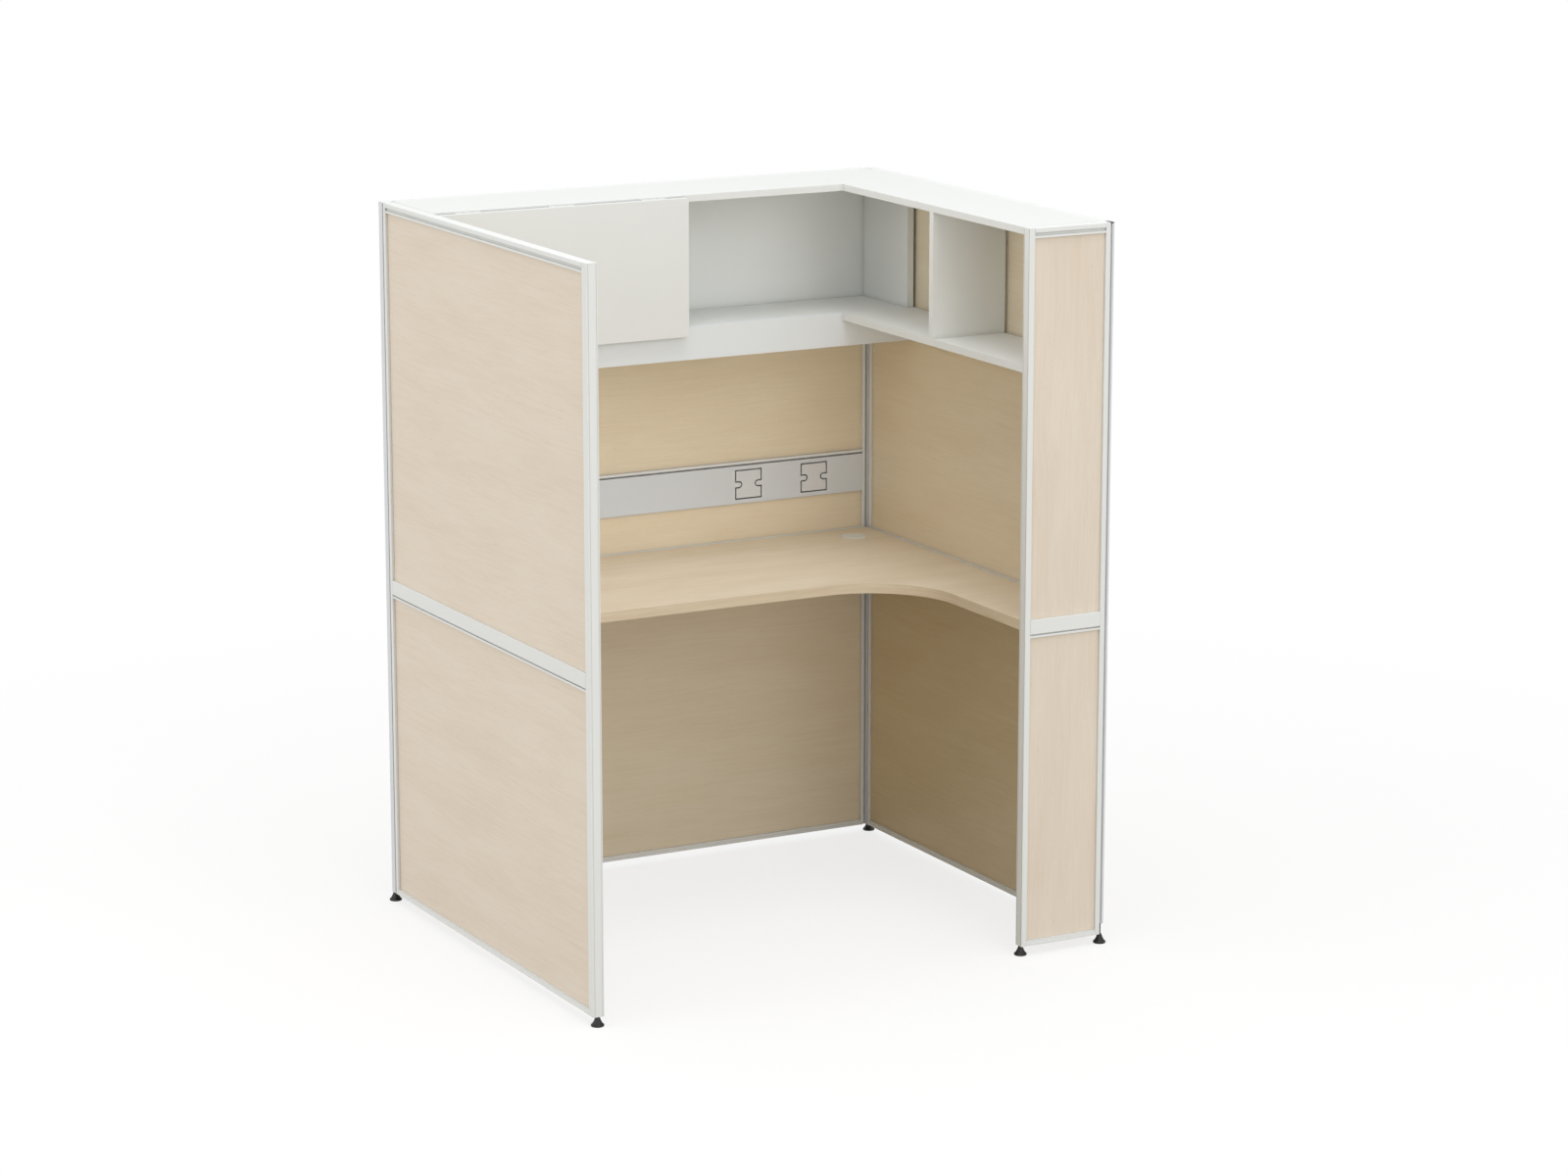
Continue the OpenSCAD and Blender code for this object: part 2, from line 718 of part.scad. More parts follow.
// Cable outlet: flanged sleeve with an inner ledge, and a plain lid
module outlet_sleeve() {
    inner_d = outlet_hole_d - 2 * outlet_wall;
    color(duct_colour) placed() translate([outlet_place[0], outlet_place[1], 0]) difference() {
        union() {
            translate([0, 0, worktop_h]) cylinder(d = outlet_d, h = outlet_lip_t / 2);
            translate([0, 0, worktop_h + outlet_lip_t / 2])
                cylinder(d1 = outlet_d, d2 = outlet_d - outlet_lip_t, h = outlet_lip_t / 2);
            translate([0, 0, worktop_h - worktop_t])
                cylinder(d = outlet_hole_d, h = worktop_t + outlet_lip_t / 2);
        }
        translate([0, 0, worktop_h - worktop_t - overrun])
            cylinder(d = inner_d - 2 * outlet_ledge_w,
                     h = worktop_t + outlet_lip_t + 2 * overrun);
        translate([0, 0, worktop_h + outlet_lip_t - lid_t])
            cylinder(d = inner_d, h = lid_t + overrun);
        translate([0, 0, worktop_h - worktop_t - overrun])
            cylinder(d = inner_d,
                     h = worktop_t + outlet_lip_t - lid_t - outlet_ledge_t + overrun);
    }
}
module outlet_lid() {
    inner_d = outlet_hole_d - 2 * outlet_wall;
    color(duct_colour) placed()
        translate([outlet_place[0], outlet_place[1], worktop_h + outlet_lip_t - lid_t])
            difference() {
                cylinder(d = inner_d - 2 * play, h = lid_t);
                translate([-lid_pull_w / 2, -inner_d / 2 - overrun, lid_t - lid_pull_depth])
                    cube([lid_pull_w, outlet_ledge_w + overrun, lid_pull_depth + overrun]);
            }
}

// Power duct: a channel in the thickness of the back wall, open to the inside, with
// a lip and a shadow slot above its cover
module power_duct() {
    cover_top = cover_gap + cover_h;
    color(frame_colour) on_back() translate([0, 0, duct_low]) run_along(back_span) difference() {
        rounded(wall_t, duct_h, edge_r);
        for (low = [-overrun, duct_h - rail_channel_d])
            translate([(wall_t - channel_w) / 2, low])
                square([channel_w, rail_channel_d + overrun]);
        translate([duct_skin, duct_inner[0]])
            square([wall_t - 2 * duct_skin - cover_t, duct_inner[1] - duct_inner[0]]);
        translate([wall_t / 2, duct_mouth[0]])
            square([wall_t / 2 + overrun, duct_mouth[1] - duct_mouth[0]]);
        translate([wall_t - cover_t, -overrun])
            square([cover_t + overrun, cover_top + overrun]);
        translate([wall_t - duct_slot_d, cover_top])
            square([duct_slot_d + overrun, duct_slot_h]);
    }
}

// A notch of a socket blank, or the tab that lies in it: round inside, open to the side
module notch_shape(r) {
    circle(r);
    translate([0, -r]) square([notch_in + blank_gap + overrun, 2 * r]);
}
module at_notches() {
    for (side = [0, 1]) mirror([side, 0]) translate([blank_w / 2 - notch_in, 0]) children();
}

// Outline of a socket blank: a square with a notch in each side
module blank_outline() {
    difference() {
        square(blank_w, center = true);
        at_notches() notch_shape(notch_r);
    }
}

// Opening in the cover for a blank: a gap all round it, also round the tab in each notch
module blank_opening() {
    difference() {
        square(blank_w + 2 * blank_gap, center = true);
        at_notches() notch_shape(notch_r - blank_gap);
    }
}
module at_blanks() {
    for (x = blank_xs) translate([x, duct_low + blank_z]) children();
}

// Plate in the wall's plane, from the given depth in the thickness
module in_back_wall(depth, t) {
    placed() translate([0, unit_d - depth, 0]) rotate([90, 0, 0]) linear_extrude(t) children();
}

// The duct's cover: a plate with two tongues that grip the edges of the duct's mouth
module duct_cover() {
    left = back_span[0] + play;
    long = back_span[1] - back_span[0] - 2 * play;
    color(duct_colour) {
        in_back_wall(wall_t - cover_t, cover_t) difference() {
            translate([left, duct_low + cover_gap]) square([long, cover_h]);
            at_blanks() blank_opening();
        }
        in_back_wall(wall_t - cover_t - cover_tongue_d, cover_tongue_d + cover_t / 2) difference() {
            for (z = [duct_mouth[0] + play, duct_mouth[1] - play - cover_tongue_t])
                translate([left, duct_low + z]) square([long, cover_tongue_t]);
            at_blanks() square([blank_w + 2 * blank_gap, duct_h], center = true);
        }
    }
}

// Socket blanks, each with a hollow boss that stands on the duct's rear wall
module socket_blanks() {
    boss_d = wall_t - duct_skin - blank_t;
    color(duct_colour) {
        in_back_wall(wall_t - blank_t, blank_t) at_blanks() blank_outline();
        in_back_wall(duct_skin, boss_d + blank_t / 2) at_blanks() difference() {
            square(blank_boss_w, center = true);
            square(blank_boss_w - 2 * blank_boss_wall, center = true);
        }
    }
}

// Plan of the overhead unit's boards: an L with its long leg along the back wall
module hutch_plan(front) {
    left = wall_t + board_play;
    right = inner_x - board_play;
    back = inner_y - board_play;
    translate([left, front]) square([right - left, back - front]);
    translate([hutch_x, wall_t + board_play])
        square([right - hutch_x, back - wall_t - board_play]);
}

module dowel_bores(z, deep) {
    for (row = upright_rows, p = row) translate([p[0], p[1], z - deep])
        cylinder(d = dowel_d + 2 * dowel_play, h = 2 * deep);
}

module hutch_top() {
    color(board_colour) placed() difference() {
        translate([0, 0, board_low]) linear_extrude(top_t) hutch_plan(hutch_y);
        dowel_bores(board_low, dowel_half + play);
        for (x = hinge_xs) {
            hinge_clearance(x);
            for (side = [-1, 1])
                translate([x + side * hinge_screw_in, hutch_y - overrun, unit_h - frame_screw_low])
                    rotate([-90, 0, 0]) cylinder(d = hinge_screw_d, h = hinge_screw_l + overrun);
        }
    }
}

module hutch_shelf() {
    color(board_colour) placed() difference() {
        translate([0, 0, shelf_h - board_t]) linear_extrude(board_t)
            hutch_plan(hutch_y + board_t);
        dowel_bores(shelf_h, dowel_half + play);
    }
}

// Valance: covers the shelf's front edge and runs on under the side run's shelf
module hutch_valance() {
    left = wall_t + board_play;
    low = shelf_h - valance_h;
    color(board_colour) placed() translate([0, hutch_y + board_t, 0]) rotate([90, 0, 0])
        linear_extrude(board_t) polygon([
            [left, low], [inner_x - board_play, low],
            [inner_x - board_play, shelf_h - board_t], [hutch_x, shelf_h - board_t],
            [hutch_x, shelf_h], [left, shelf_h]
        ]);
}

// The three equal uprights of the back run, between shelf and top
module bay_uprights() {
    run_d = inner_y - back_board_t - board_play - hutch_y;
    color(board_colour) placed() difference() {
        for (x = [wall_t + board_play, bay_upright_x, inner_x - board_play - board_t])
            translate([x, hutch_y, shelf_h]) cube([board_t, run_d, board_low - shelf_h]);
        dowel_bores(shelf_h, dowel_half + play);
        dowel_bores(board_low, dowel_half + play);
    }
}

// The upright of the side run
module side_upright() {
    color(board_colour) placed() difference() {
        translate([hutch_x, side_upright_y, shelf_h])
            cube([inner_x - board_play - hutch_x, board_t, board_low - shelf_h]);
        dowel_bores(shelf_h, dowel_half + play);
        dowel_bores(board_low, dowel_half + play);
    }
}

module hutch_back_board() {
    left = wall_t + board_play;
    color(board_colour) placed() translate([left, inner_y - board_play - back_board_t, shelf_h])
        cube([inner_x - board_play - left, back_board_t, board_low - shelf_h]);
}

module hutch_dowels() {
    color(maple_colour) placed() for (z = [shelf_h, board_low], row = upright_rows, p = row)
        translate([p[0], p[1], z - dowel_half]) cylinder(d = dowel_d, h = 2 * dowel_half);
}

// Round groove that clears a hinge's knuckles
module hinge_clearance(x) {
    translate([x - hinge_w / 2 - knuckle_play, axis_y, axis_z]) rotate([0, 90, 0])
        cylinder(r = knuckle_r + knuckle_play, h = hinge_w + 2 * knuckle_play);
}

module flap_door() {
    color(board_colour) placed() difference() {
        translate([flap_left, flap_back - board_t, flap_low])
            cube([flap_w, board_t, flap_top - flap_low]);
        for (x = hinge_xs) {
            hinge_clearance(x);
            for (side = [-1, 1])
                translate([x + side * hinge_screw_in, flap_leaf_face, axis_z - flap_screw_low])
                    rotate([90, 0, 0]) cylinder(d = hinge_screw_d, h = hinge_screw_l + play);
        }
    }
}

// Knuckles of one hinge: the outer two belong to the top board, the middle one to the flap
module knuckle(x, w) {
    translate([x, axis_y, axis_z]) rotate([0, 90, 0]) cylinder(r = knuckle_r, h = w);
}
module pin_bore(x) {
    translate([x - hinge_w / 2 - overrun, axis_y, axis_z]) rotate([0, 90, 0])
        cylinder(d = pin_d + 2 * pin_play, h = hinge_w + 2 * overrun);
}
module swing_clearance(x, w) {
    translate([x - knuckle_play, axis_y, axis_z]) rotate([0, 90, 0])
        cylinder(r = knuckle_r + knuckle_play, h = w + 2 * knuckle_play);
}

module countersunk_bore() {
    translate([0, 0, -overrun]) cylinder(d = hinge_screw_d, h = leaf_t + 2 * overrun);
    cylinder(d1 = hinge_screw_head_d, d2 = hinge_screw_d, h = leaf_t);
}

module hinge_frame_leaves() {
    leaf_low = board_low + play;
    color(metal_colour) placed() for (x = hinge_xs) difference() {
        union() {
            translate([x - hinge_w / 2, hutch_y - leaf_t, leaf_low])
                cube([hinge_w, leaf_t, axis_z - leaf_low]);
            for (from = [x - hinge_w / 2, x + knuckle_w / 2]) knuckle(from, knuckle_w);
        }
        swing_clearance(x - knuckle_w / 2, knuckle_w);
        pin_bore(x);
        for (side = [-1, 1])
            translate([x + side * hinge_screw_in, hutch_y - leaf_t, unit_h - frame_screw_low])
                rotate([-90, 0, 0]) countersunk_bore();
    }
}

module hinge_flap_leaves() {
    color(metal_colour) placed() for (x = hinge_xs) difference() {
        union() {
            translate([x - hinge_w / 2, flap_back, axis_z - flap_leaf_h])
                cube([hinge_w, leaf_t, flap_leaf_h]);
            knuckle(x - knuckle_w / 2 + knuckle_play, knuckle_w - 2 * knuckle_play);
        }
        for (from = [x - hinge_w / 2, x + knuckle_w / 2]) swing_clearance(from, knuckle_w);
        pin_bore(x);
        for (side = [-1, 1])
            translate([x + side * hinge_screw_in, flap_leaf_face, axis_z - flap_screw_low])
                rotate([90, 0, 0]) countersunk_bore();
    }
}

module hinge_pins() {
    color(metal_colour) placed() for (x = hinge_xs)
        translate([x - hinge_w / 2, axis_y, axis_z]) rotate([0, 90, 0])
            cylinder(d = pin_d, h = hinge_w);
}

module hinge_screw() {
    cylinder(d1 = hinge_screw_head_d - play, d2 = hinge_screw_d - play, h = leaf_t);
    cylinder(d = hinge_screw_d - play, h = hinge_screw_l);
}
module flap_screws() {
    color(metal_colour) placed() for (x = hinge_xs, side = [-1, 1])
        translate([x + side * hinge_screw_in, flap_leaf_face, axis_z - flap_screw_low])
            rotate([90, 0, 0]) hinge_screw();
}

// Screws of the fixed structure: in the hinges' upper leaves and in the worktop brackets
module frame_screws() {
    color(metal_colour) placed() {
        for (x = hinge_xs, side = [-1, 1])
            translate([x + side * hinge_screw_in, hutch_y - leaf_t, unit_h - frame_screw_low])
                rotate([-90, 0, 0]) hinge_screw();
        at_left_bracket() bracket_screws(bracket_reach, back_screw_in);
        at_right_bracket() bracket_screws(bracket_reach, back_screw_in);
        at_side_bracket() bracket_screws(side_bracket_reach, side_screw_in);
    }
}

left_end_post();
left_rear_stile();
left_top_rail();
left_mid_rail();
left_bottom_rail();
left_upper_panel();
left_lower_panel();
back_left_stile();
back_right_stile();
back_top_rail();
back_mid_rail();
back_bottom_rail();
back_upper_panel();
back_strip_panel();
back_lower_panel();
right_front_stile();
right_rear_stile();
right_top_rail();
right_mid_rail();
right_bottom_rail();
right_upper_panel();
right_lower_panel();
wing_end_post();
wing_corner_stile();
wing_top_rail();
wing_mid_rail();
wing_bottom_rail();
wing_upper_panel();
wing_lower_panel();
corner_post_back_left();
corner_post_back_right();
corner_post_front_right();
post_caps();
post_plugs();
foot_front_left();
foot_back_left();
foot_back_right();
foot_wing();
foot_front_right();
worktop();
worktop_edging();
worktop_brackets();
outlet_sleeve();
outlet_lid();
power_duct();
duct_cover();
socket_blanks();
hutch_top();
hutch_shelf();
hutch_valance();
bay_uprights();
side_upright();
hutch_back_board();
hutch_dowels();
flap_door();
hinge_frame_leaves();
hinge_flap_leaves();
hinge_pins();
flap_screws();
frame_screws();
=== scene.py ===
"""Cubicle workstation: finishes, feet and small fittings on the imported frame.

Everything is in metres, +Z up, +Y towards the back wall, +X to the right.
"""
import json
import math

import bpy
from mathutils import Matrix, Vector

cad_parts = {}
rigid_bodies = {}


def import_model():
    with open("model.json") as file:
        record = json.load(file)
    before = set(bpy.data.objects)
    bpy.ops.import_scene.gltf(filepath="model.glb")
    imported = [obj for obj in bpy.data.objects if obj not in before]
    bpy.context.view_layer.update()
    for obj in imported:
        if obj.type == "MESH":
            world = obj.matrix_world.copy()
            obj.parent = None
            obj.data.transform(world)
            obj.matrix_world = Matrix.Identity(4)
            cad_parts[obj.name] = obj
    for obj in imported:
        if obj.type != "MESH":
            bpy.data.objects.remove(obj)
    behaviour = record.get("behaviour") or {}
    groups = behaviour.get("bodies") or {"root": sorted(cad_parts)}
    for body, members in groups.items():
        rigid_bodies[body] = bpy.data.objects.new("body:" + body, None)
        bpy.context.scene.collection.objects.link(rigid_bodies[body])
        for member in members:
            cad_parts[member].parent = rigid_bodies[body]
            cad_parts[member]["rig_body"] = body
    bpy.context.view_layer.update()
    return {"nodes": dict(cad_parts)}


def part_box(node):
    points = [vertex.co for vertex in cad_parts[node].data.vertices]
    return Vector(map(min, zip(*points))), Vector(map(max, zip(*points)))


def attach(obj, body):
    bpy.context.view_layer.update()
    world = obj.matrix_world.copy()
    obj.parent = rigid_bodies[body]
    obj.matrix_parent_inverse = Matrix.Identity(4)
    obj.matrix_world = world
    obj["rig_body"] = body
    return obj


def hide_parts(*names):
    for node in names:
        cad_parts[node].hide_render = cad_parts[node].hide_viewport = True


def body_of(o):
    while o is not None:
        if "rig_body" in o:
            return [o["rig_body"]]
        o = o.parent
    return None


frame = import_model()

MM = 0.001
NODES = frame["nodes"]


# Colours
def srgb(red, green, blue):
    """A colour written as 0 to 255, as the linear RGBA that shaders read."""
    def linear(value):
        value /= 255
        return value / 12.92 if value <= 0.04045 else ((value + 0.055) / 1.055) ** 2.4
    return (linear(red), linear(green), linear(blue), 1.0)


# Node helpers
# The mix node has a set of sockets for each kind of value, and these are the ones for colours
MIX_FACTOR = 0
MIX_FIRST = 6
MIX_SECOND = 7
MIX_RESULT = 2


class Tree:
    """Adds nodes to one node tree and links them by socket name."""

    def __init__(self, tree):
        self.tree = tree

    def add(self, kind, inputs=None, **settings):
        """A new node; an input is given as a value or as the socket that feeds it."""
        node = self.tree.nodes.new(kind)
        for key, value in settings.items():
            setattr(node, key, value)
        for key, value in (inputs or {}).items():
            if isinstance(value, bpy.types.NodeSocket):
                self.tree.links.new(value, node.inputs[key])
            else:
                node.inputs[key].default_value = value
        return node

    def link(self, source, target):
        """Feeds an input from an output."""
        self.tree.links.new(source, target)

    def noise(self, vector, scale, detail=2.0, roughness=0.5):
        """Soft noise from 0 to 1."""
        return self.add("ShaderNodeTexNoise", {
            "Vector": vector, "Scale": scale, "Detail": detail, "Roughness": roughness,
        }).outputs["Fac"]

    def math(self, operation, first, second=0.0, clamp=False):
        """The result of one sum on two values."""
        return self.add(
            "ShaderNodeMath", {0: first, 1: second}, operation=operation, use_clamp=clamp
        ).outputs[0]

    def remap(self, value, low, high, to_low=0.0, to_high=1.0):
        """The value's place between low and high, held to that range, on another range."""
        return self.add("ShaderNodeMapRange", {
            "Value": value, "From Min": low, "From Max": high,
            "To Min": to_low, "To Max": to_high,
        }).outputs["Result"]

    def stretch(self, vector, along, across):
        """Coordinates with one scale along the grain and another across it."""
        return self.add("ShaderNodeVectorMath", {
            0: vector, 1: (along, across, across),
        }, operation="MULTIPLY").outputs["Vector"]

    def blend(self, factor, first, second, mode="MIX"):
        """Two colours mixed by a factor."""
        node = self.add("ShaderNodeMix", data_type="RGBA", blend_type=mode)
        for socket, value in ((MIX_FACTOR, factor), (MIX_FIRST, first), (MIX_SECOND, second)):
            if isinstance(value, bpy.types.NodeSocket):
                self.link(value, node.inputs[socket])
            else:
                node.inputs[socket].default_value = value
        return node.outputs[MIX_RESULT]


def new_group(name, inputs, outputs):
    """An empty shader group with named sockets; gives its tree, inputs and outputs."""
    group = bpy.data.node_groups.new(name, "ShaderNodeTree")
    kinds = {"color": "NodeSocketColor", "float": "NodeSocketFloat", "vector": "NodeSocketVector"}
    for label, kind, value in inputs:
        socket = group.interface.new_socket(label, in_out="INPUT", socket_type=kinds[kind])
        if value is not None:
            socket.default_value = value
    for label, kind in outputs:
        group.interface.new_socket(label, in_out="OUTPUT", socket_type=kinds[kind])
    tree = Tree(group)
    entry = group.nodes.new("NodeGroupInput").outputs
    leave = group.nodes.new("NodeGroupOutput").inputs
    return group, tree, entry, leave


# Shared effects
# Each part of the maple's figure: its scale along the grain and across it, the detail and
# roughness of its noise, and the stretch of that noise in which it rises from nothing to full
FIGURE = {
    "Clouds": ((3.0, 13.0), 2.0, 0.5, (0.3, 0.7)),
    "Streaks": ((7.0, 170.0), 3.0, 0.55, (0.38, 0.78)),
    "Fibres": ((26.0, 1100.0), 3.0, 0.6, (0.35, 0.75)),
    "Flecks": ((55.0, 520.0), 1.0, 0.5, (0.70, 0.80)),
}
# Scale of the slow sway that bends the figure
SWAY_SCALE = (1.6, 5.0)
VENEER_ROUGHNESS = (0.42, 0.54)
FIBRE_HEIGHT = 0.7
FLECK_DEPTH = 0.3


def make_maple_figure():
    """Maple veneer, with the grain along the first axis of its Vector."""
    group, tree, entry, leave = new_group(
        "maple_figure",
        [("Vector", "vector", None), ("Pale", "color", srgb(240, 226, 205)),
         ("Tan", "color", srgb(214, 194, 162)), ("Clouds", "float", 0.5),
         ("Streaks", "float", 0.5), ("Fibres", "float", 0.2), ("Flecks", "float", 0.3),
         ("Sway", "float", 0.05)],
        [("Color", "color"), ("Roughness", "float"), ("Height", "float")],
    )
    vector = entry["Vector"]
    sway = tree.math("MULTIPLY", tree.noise(tree.stretch(vector, *SWAY_SCALE), 1.0, 1.0), entry["Sway"])
    bent = tree.add("ShaderNodeVectorMath", {
        0: vector,
        1: tree.add("ShaderNodeCombineXYZ", {"Y": sway, "Z": sway}).outputs[0],
    }, operation="ADD").outputs["Vector"]
    noises = {}
    shares = {}
    for part, (scales, detail, roughness, rise) in FIGURE.items():
        noises[part] = tree.noise(tree.stretch(bent, *scales), 1.0, detail, roughness)
        shares[part] = tree.math("MULTIPLY", tree.remap(noises[part], *rise), entry[part])
    total = tree.math("ADD", tree.math("ADD", shares["Clouds"], shares["Streaks"]),
                      tree.math("ADD", shares["Fibres"], shares["Flecks"]), clamp=True)
    tree.link(tree.blend(total, entry["Pale"], entry["Tan"]), leave["Color"])
    lines = tree.math("ADD", noises["Streaks"], noises["Fibres"])
    tree.link(tree.remap(lines, 0.6, 1.4, *VENEER_ROUGHNESS), leave["Roughness"])
    tree.link(tree.math("SUBTRACT", tree.math("MULTIPLY", noises["Fibres"], FIBRE_HEIGHT),
                        tree.math("MULTIPLY", noises["Flecks"], FLECK_DEPTH)), leave["Height"])
    return group


BROAD_MOTTLE_SCALE = 5.0
SMALL_MOTTLE_SCALE = 55.0
BROAD_MOTTLE_SHARE = 0.7
SMALL_MOTTLE_SHARE = 0.3


def make_coat():
    """A sprayed or moulded skin: faint mottling and a fine orange peel."""
    group, tree, entry, leave = new_group(
        "fine_coat",
        [("Vector", "vector", None), ("Color", "color", srgb(240, 240, 238)),
         ("Mottle", "float", 0.03), ("Peel", "float", 700.0),
         ("Gloss", "float", 0.38), ("Spread", "float", 0.08)],
        [("Color", "color"), ("Roughness", "float"), ("Height", "float")],
    )
    vector = entry["Vector"]
    broad = tree.noise(vector, BROAD_MOTTLE_SCALE, 3.0)
    small = tree.noise(vector, SMALL_MOTTLE_SCALE, 3.0, 0.6)
    peel = tree.noise(vector, entry["Peel"])
    mottle = tree.math("ADD", tree.math("MULTIPLY", broad, BROAD_MOTTLE_SHARE),
                       tree.math("MULTIPLY", small, SMALL_MOTTLE_SHARE))
    shade = tree.math("SUBTRACT", 1.0, tree.math("MULTIPLY", mottle, entry["Mottle"]))
    grey = tree.add("ShaderNodeCombineColor", {"Red": shade, "Green": shade, "Blue": shade}).outputs[0]
    tree.link(tree.blend(1.0, entry["Color"], grey, "MULTIPLY"), leave["Color"])
    tree.link(tree.math("ADD", entry["Gloss"], tree.math(
        "MULTIPLY", tree.math("SUBTRACT", small, 0.5), entry["Spread"])), leave["Roughness"])
    tree.link(peel, leave["Height"])
    return group


# How alike the rounded and the true normal are where an edge begins, and where it is sharpest
EDGE_BEGINS = 0.99
EDGE_SHARPEST = 0.80
# Rubbed places: the scale of their noise, where in it they rise, and how much they dull
RUB_SCALE = 90.0
RUB_RISE = (0.38, 0.62)
RUB_DULLS = 0.12
# Painted shade and dust, darkest in hollows and where parts meet: its colour, the scale of its noise,
# its least and greatest share, and how much it dulls
SHADE_AND_DUST_COLOUR = srgb(104, 99, 92)
SHADE_AND_DUST_SCALE = 35.0
SHADE_AND_DUST_SHARES = (0.8, 1.2)
SHADE_AND_DUST_DULLS = 0.3


def make_worn_edges():
    """Softened arrises that use has rubbed, and painted shade with dirt where surfaces meet."""
    group, tree, entry, leave = new_group(
        "edges_and_corners",
        [("Color", "color", None), ("Roughness", "float", 0.4), ("Vector", "vector", None),
         ("Rubbed", "color", srgb(250, 250, 248)), ("Wear", "float", 0.3),
         ("Shade and dust", "float", 0.1), ("Width", "float", 0.0008), ("Reach", "float", 0.012)],
        [("Color", "color"), ("Roughness", "float"), ("Normal", "vector")],
    )
    rounded = tree.add("ShaderNodeBevel", {"Radius": entry["Width"]}, samples=4).outputs[0]
    true_normal = tree.add("ShaderNodeNewGeometry").outputs["True Normal"]
    alike = tree.add("ShaderNodeVectorMath", {0: rounded, 1: true_normal}, operation="DOT_PRODUCT")
    edge = tree.remap(alike.outputs["Value"], EDGE_BEGINS, EDGE_SHARPEST)
    patchy = tree.remap(tree.noise(entry["Vector"], RUB_SCALE, 3.0, 0.6), *RUB_RISE)
    rub = tree.math("MULTIPLY", tree.math("MULTIPLY", edge, patchy), entry["Wear"], clamp=True)
    # Ambient occlusion darkens the colour in hollows and where parts meet: painted shade, with dust
    # mixed into it
    hollow_shade = tree.math("SUBTRACT", 1.0, tree.add(
        "ShaderNodeAmbientOcclusion", {"Distance": entry["Reach"]}, samples=6).outputs["AO"])
    uneven = tree.remap(tree.noise(entry["Vector"], SHADE_AND_DUST_SCALE, 4.0, 0.65), 0.2, 0.8, *SHADE_AND_DUST_SHARES)
    dust_and_shade = tree.math("MULTIPLY", tree.math("MULTIPLY", hollow_shade, entry["Shade and dust"]), uneven, clamp=True)
    color = tree.blend(rub, entry["Color"], entry["Rubbed"])
    color = tree.blend(dust_and_shade, color, SHADE_AND_DUST_COLOUR)
    tree.link(color, leave["Color"])
    duller = tree.math("ADD", tree.math("MULTIPLY", rub, RUB_DULLS),
                       tree.math("MULTIPLY", dust_and_shade, SHADE_AND_DUST_DULLS))
    tree.link(tree.math("ADD", entry["Roughness"], duller), leave["Roughness"])
    tree.link(rounded, leave["Normal"])
    return group


MAPLE = make_maple_figure()
COAT = make_coat()
EDGES = make_worn_edges()


# Materials
def begin(name, turn=(0.0, 0.0, 0.0), offset=(0.0, 0.0, 0.0), scale=(1.0, 1.0, 1.0)):
    """A new material with its shader and its pattern's coordinates."""
    material = bpy.data.materials.new(name)
    material.use_nodes = True
    tree = Tree(material.node_tree)
    shader = material.node_tree.nodes["Principled BSDF"]
    place = tree.add("ShaderNodeTexCoord").outputs["Object"]
    vector = tree.add("ShaderNodeMapping", {
        "Vector": place, "Location": offset, "Rotation": turn, "Scale": scale,
    }).outputs[0]
    return material, tree, shader, vector


def dress(tree, shader, vector, source, relief, rubbed, wear, dust_and_shade, width, reach=0.012):
    """Puts a shared finish through the edge group into the shader, with its relief."""
    edges = tree.add("ShaderNodeGroup", node_tree=EDGES)
    tree.link(source.outputs["Color"], edges.inputs["Color"])
    tree.link(source.outputs["Roughness"], edges.inputs["Roughness"])
    tree.link(vector, edges.inputs["Vector"])
    edges.inputs["Rubbed"].default_value = rubbed
    edges.inputs["Wear"].default_value = wear
    edges.inputs["Shade and dust"].default_value = dust_and_shade
    edges.inputs["Width"].default_value = width
    edges.inputs["Reach"].default_value = reach
    tree.link(edges.outputs["Color"], shader.inputs["Base Color"])
    tree.link(edges.outputs["Roughness"], shader.inputs["Roughness"])
    bump = tree.add("ShaderNodeBump", {
        "Height": source.outputs["Height"], "Distance": relief, "Strength": 1.0,
        "Normal": edges.outputs["Normal"],
    })
    tree.link(bump.outputs["Normal"], shader.inputs["Normal"])


PALE_ARRIS = srgb(243, 231, 210)
VENEER_RELIEF = 0.00004
VENEER_ARRIS = 0.0006
VENEER_SPECULAR = 0.35
QUARTER = math.pi / 2
GRAIN_ALONG_X = (0.0, 0.0, 0.0)
GRAIN_ALONG_Y = (0.0, 0.0, -QUARTER)
GRAIN_ALONG_Z = (0.0, QUARTER, 0.0)


def maple(name, turn, offset, pale, tan, clouds, streaks, fibres, flecks,
          sway=0.05, scale=(1.0, 1.0, 1.0), inside=None):
    """Maple; inside is the direction that the inner face looks in, and that face's two tones, which
    paint warmer bounce light or shade onto the inner face.
    """
    material, tree, shader, vector = begin(name, turn, offset, scale)
    if inside:
        facing = tree.add("ShaderNodeVectorMath", {
            0: tree.add("ShaderNodeNewGeometry").outputs["True Normal"], 1: inside[0],
        }, operation="DOT_PRODUCT").outputs["Value"]
        inner = tree.remap(facing, 0.4, 0.6)
        pale, tan = tree.blend(inner, pale, inside[1]), tree.blend(inner, tan, inside[2])
    wood = tree.add("ShaderNodeGroup", {
        "Vector": vector, "Pale": pale, "Tan": tan, "Clouds": clouds,
        "Streaks": streaks, "Fibres": fibres, "Flecks": flecks, "Sway": sway,
    }, node_tree=MAPLE)
    dress(tree, shader, vector, wood, VENEER_RELIEF, PALE_ARRIS, wear=0.25, dust_and_shade=0.25,
          width=VENEER_ARRIS)
    shader.inputs["Specular IOR Level"].default_value = VENEER_SPECULAR
    return material


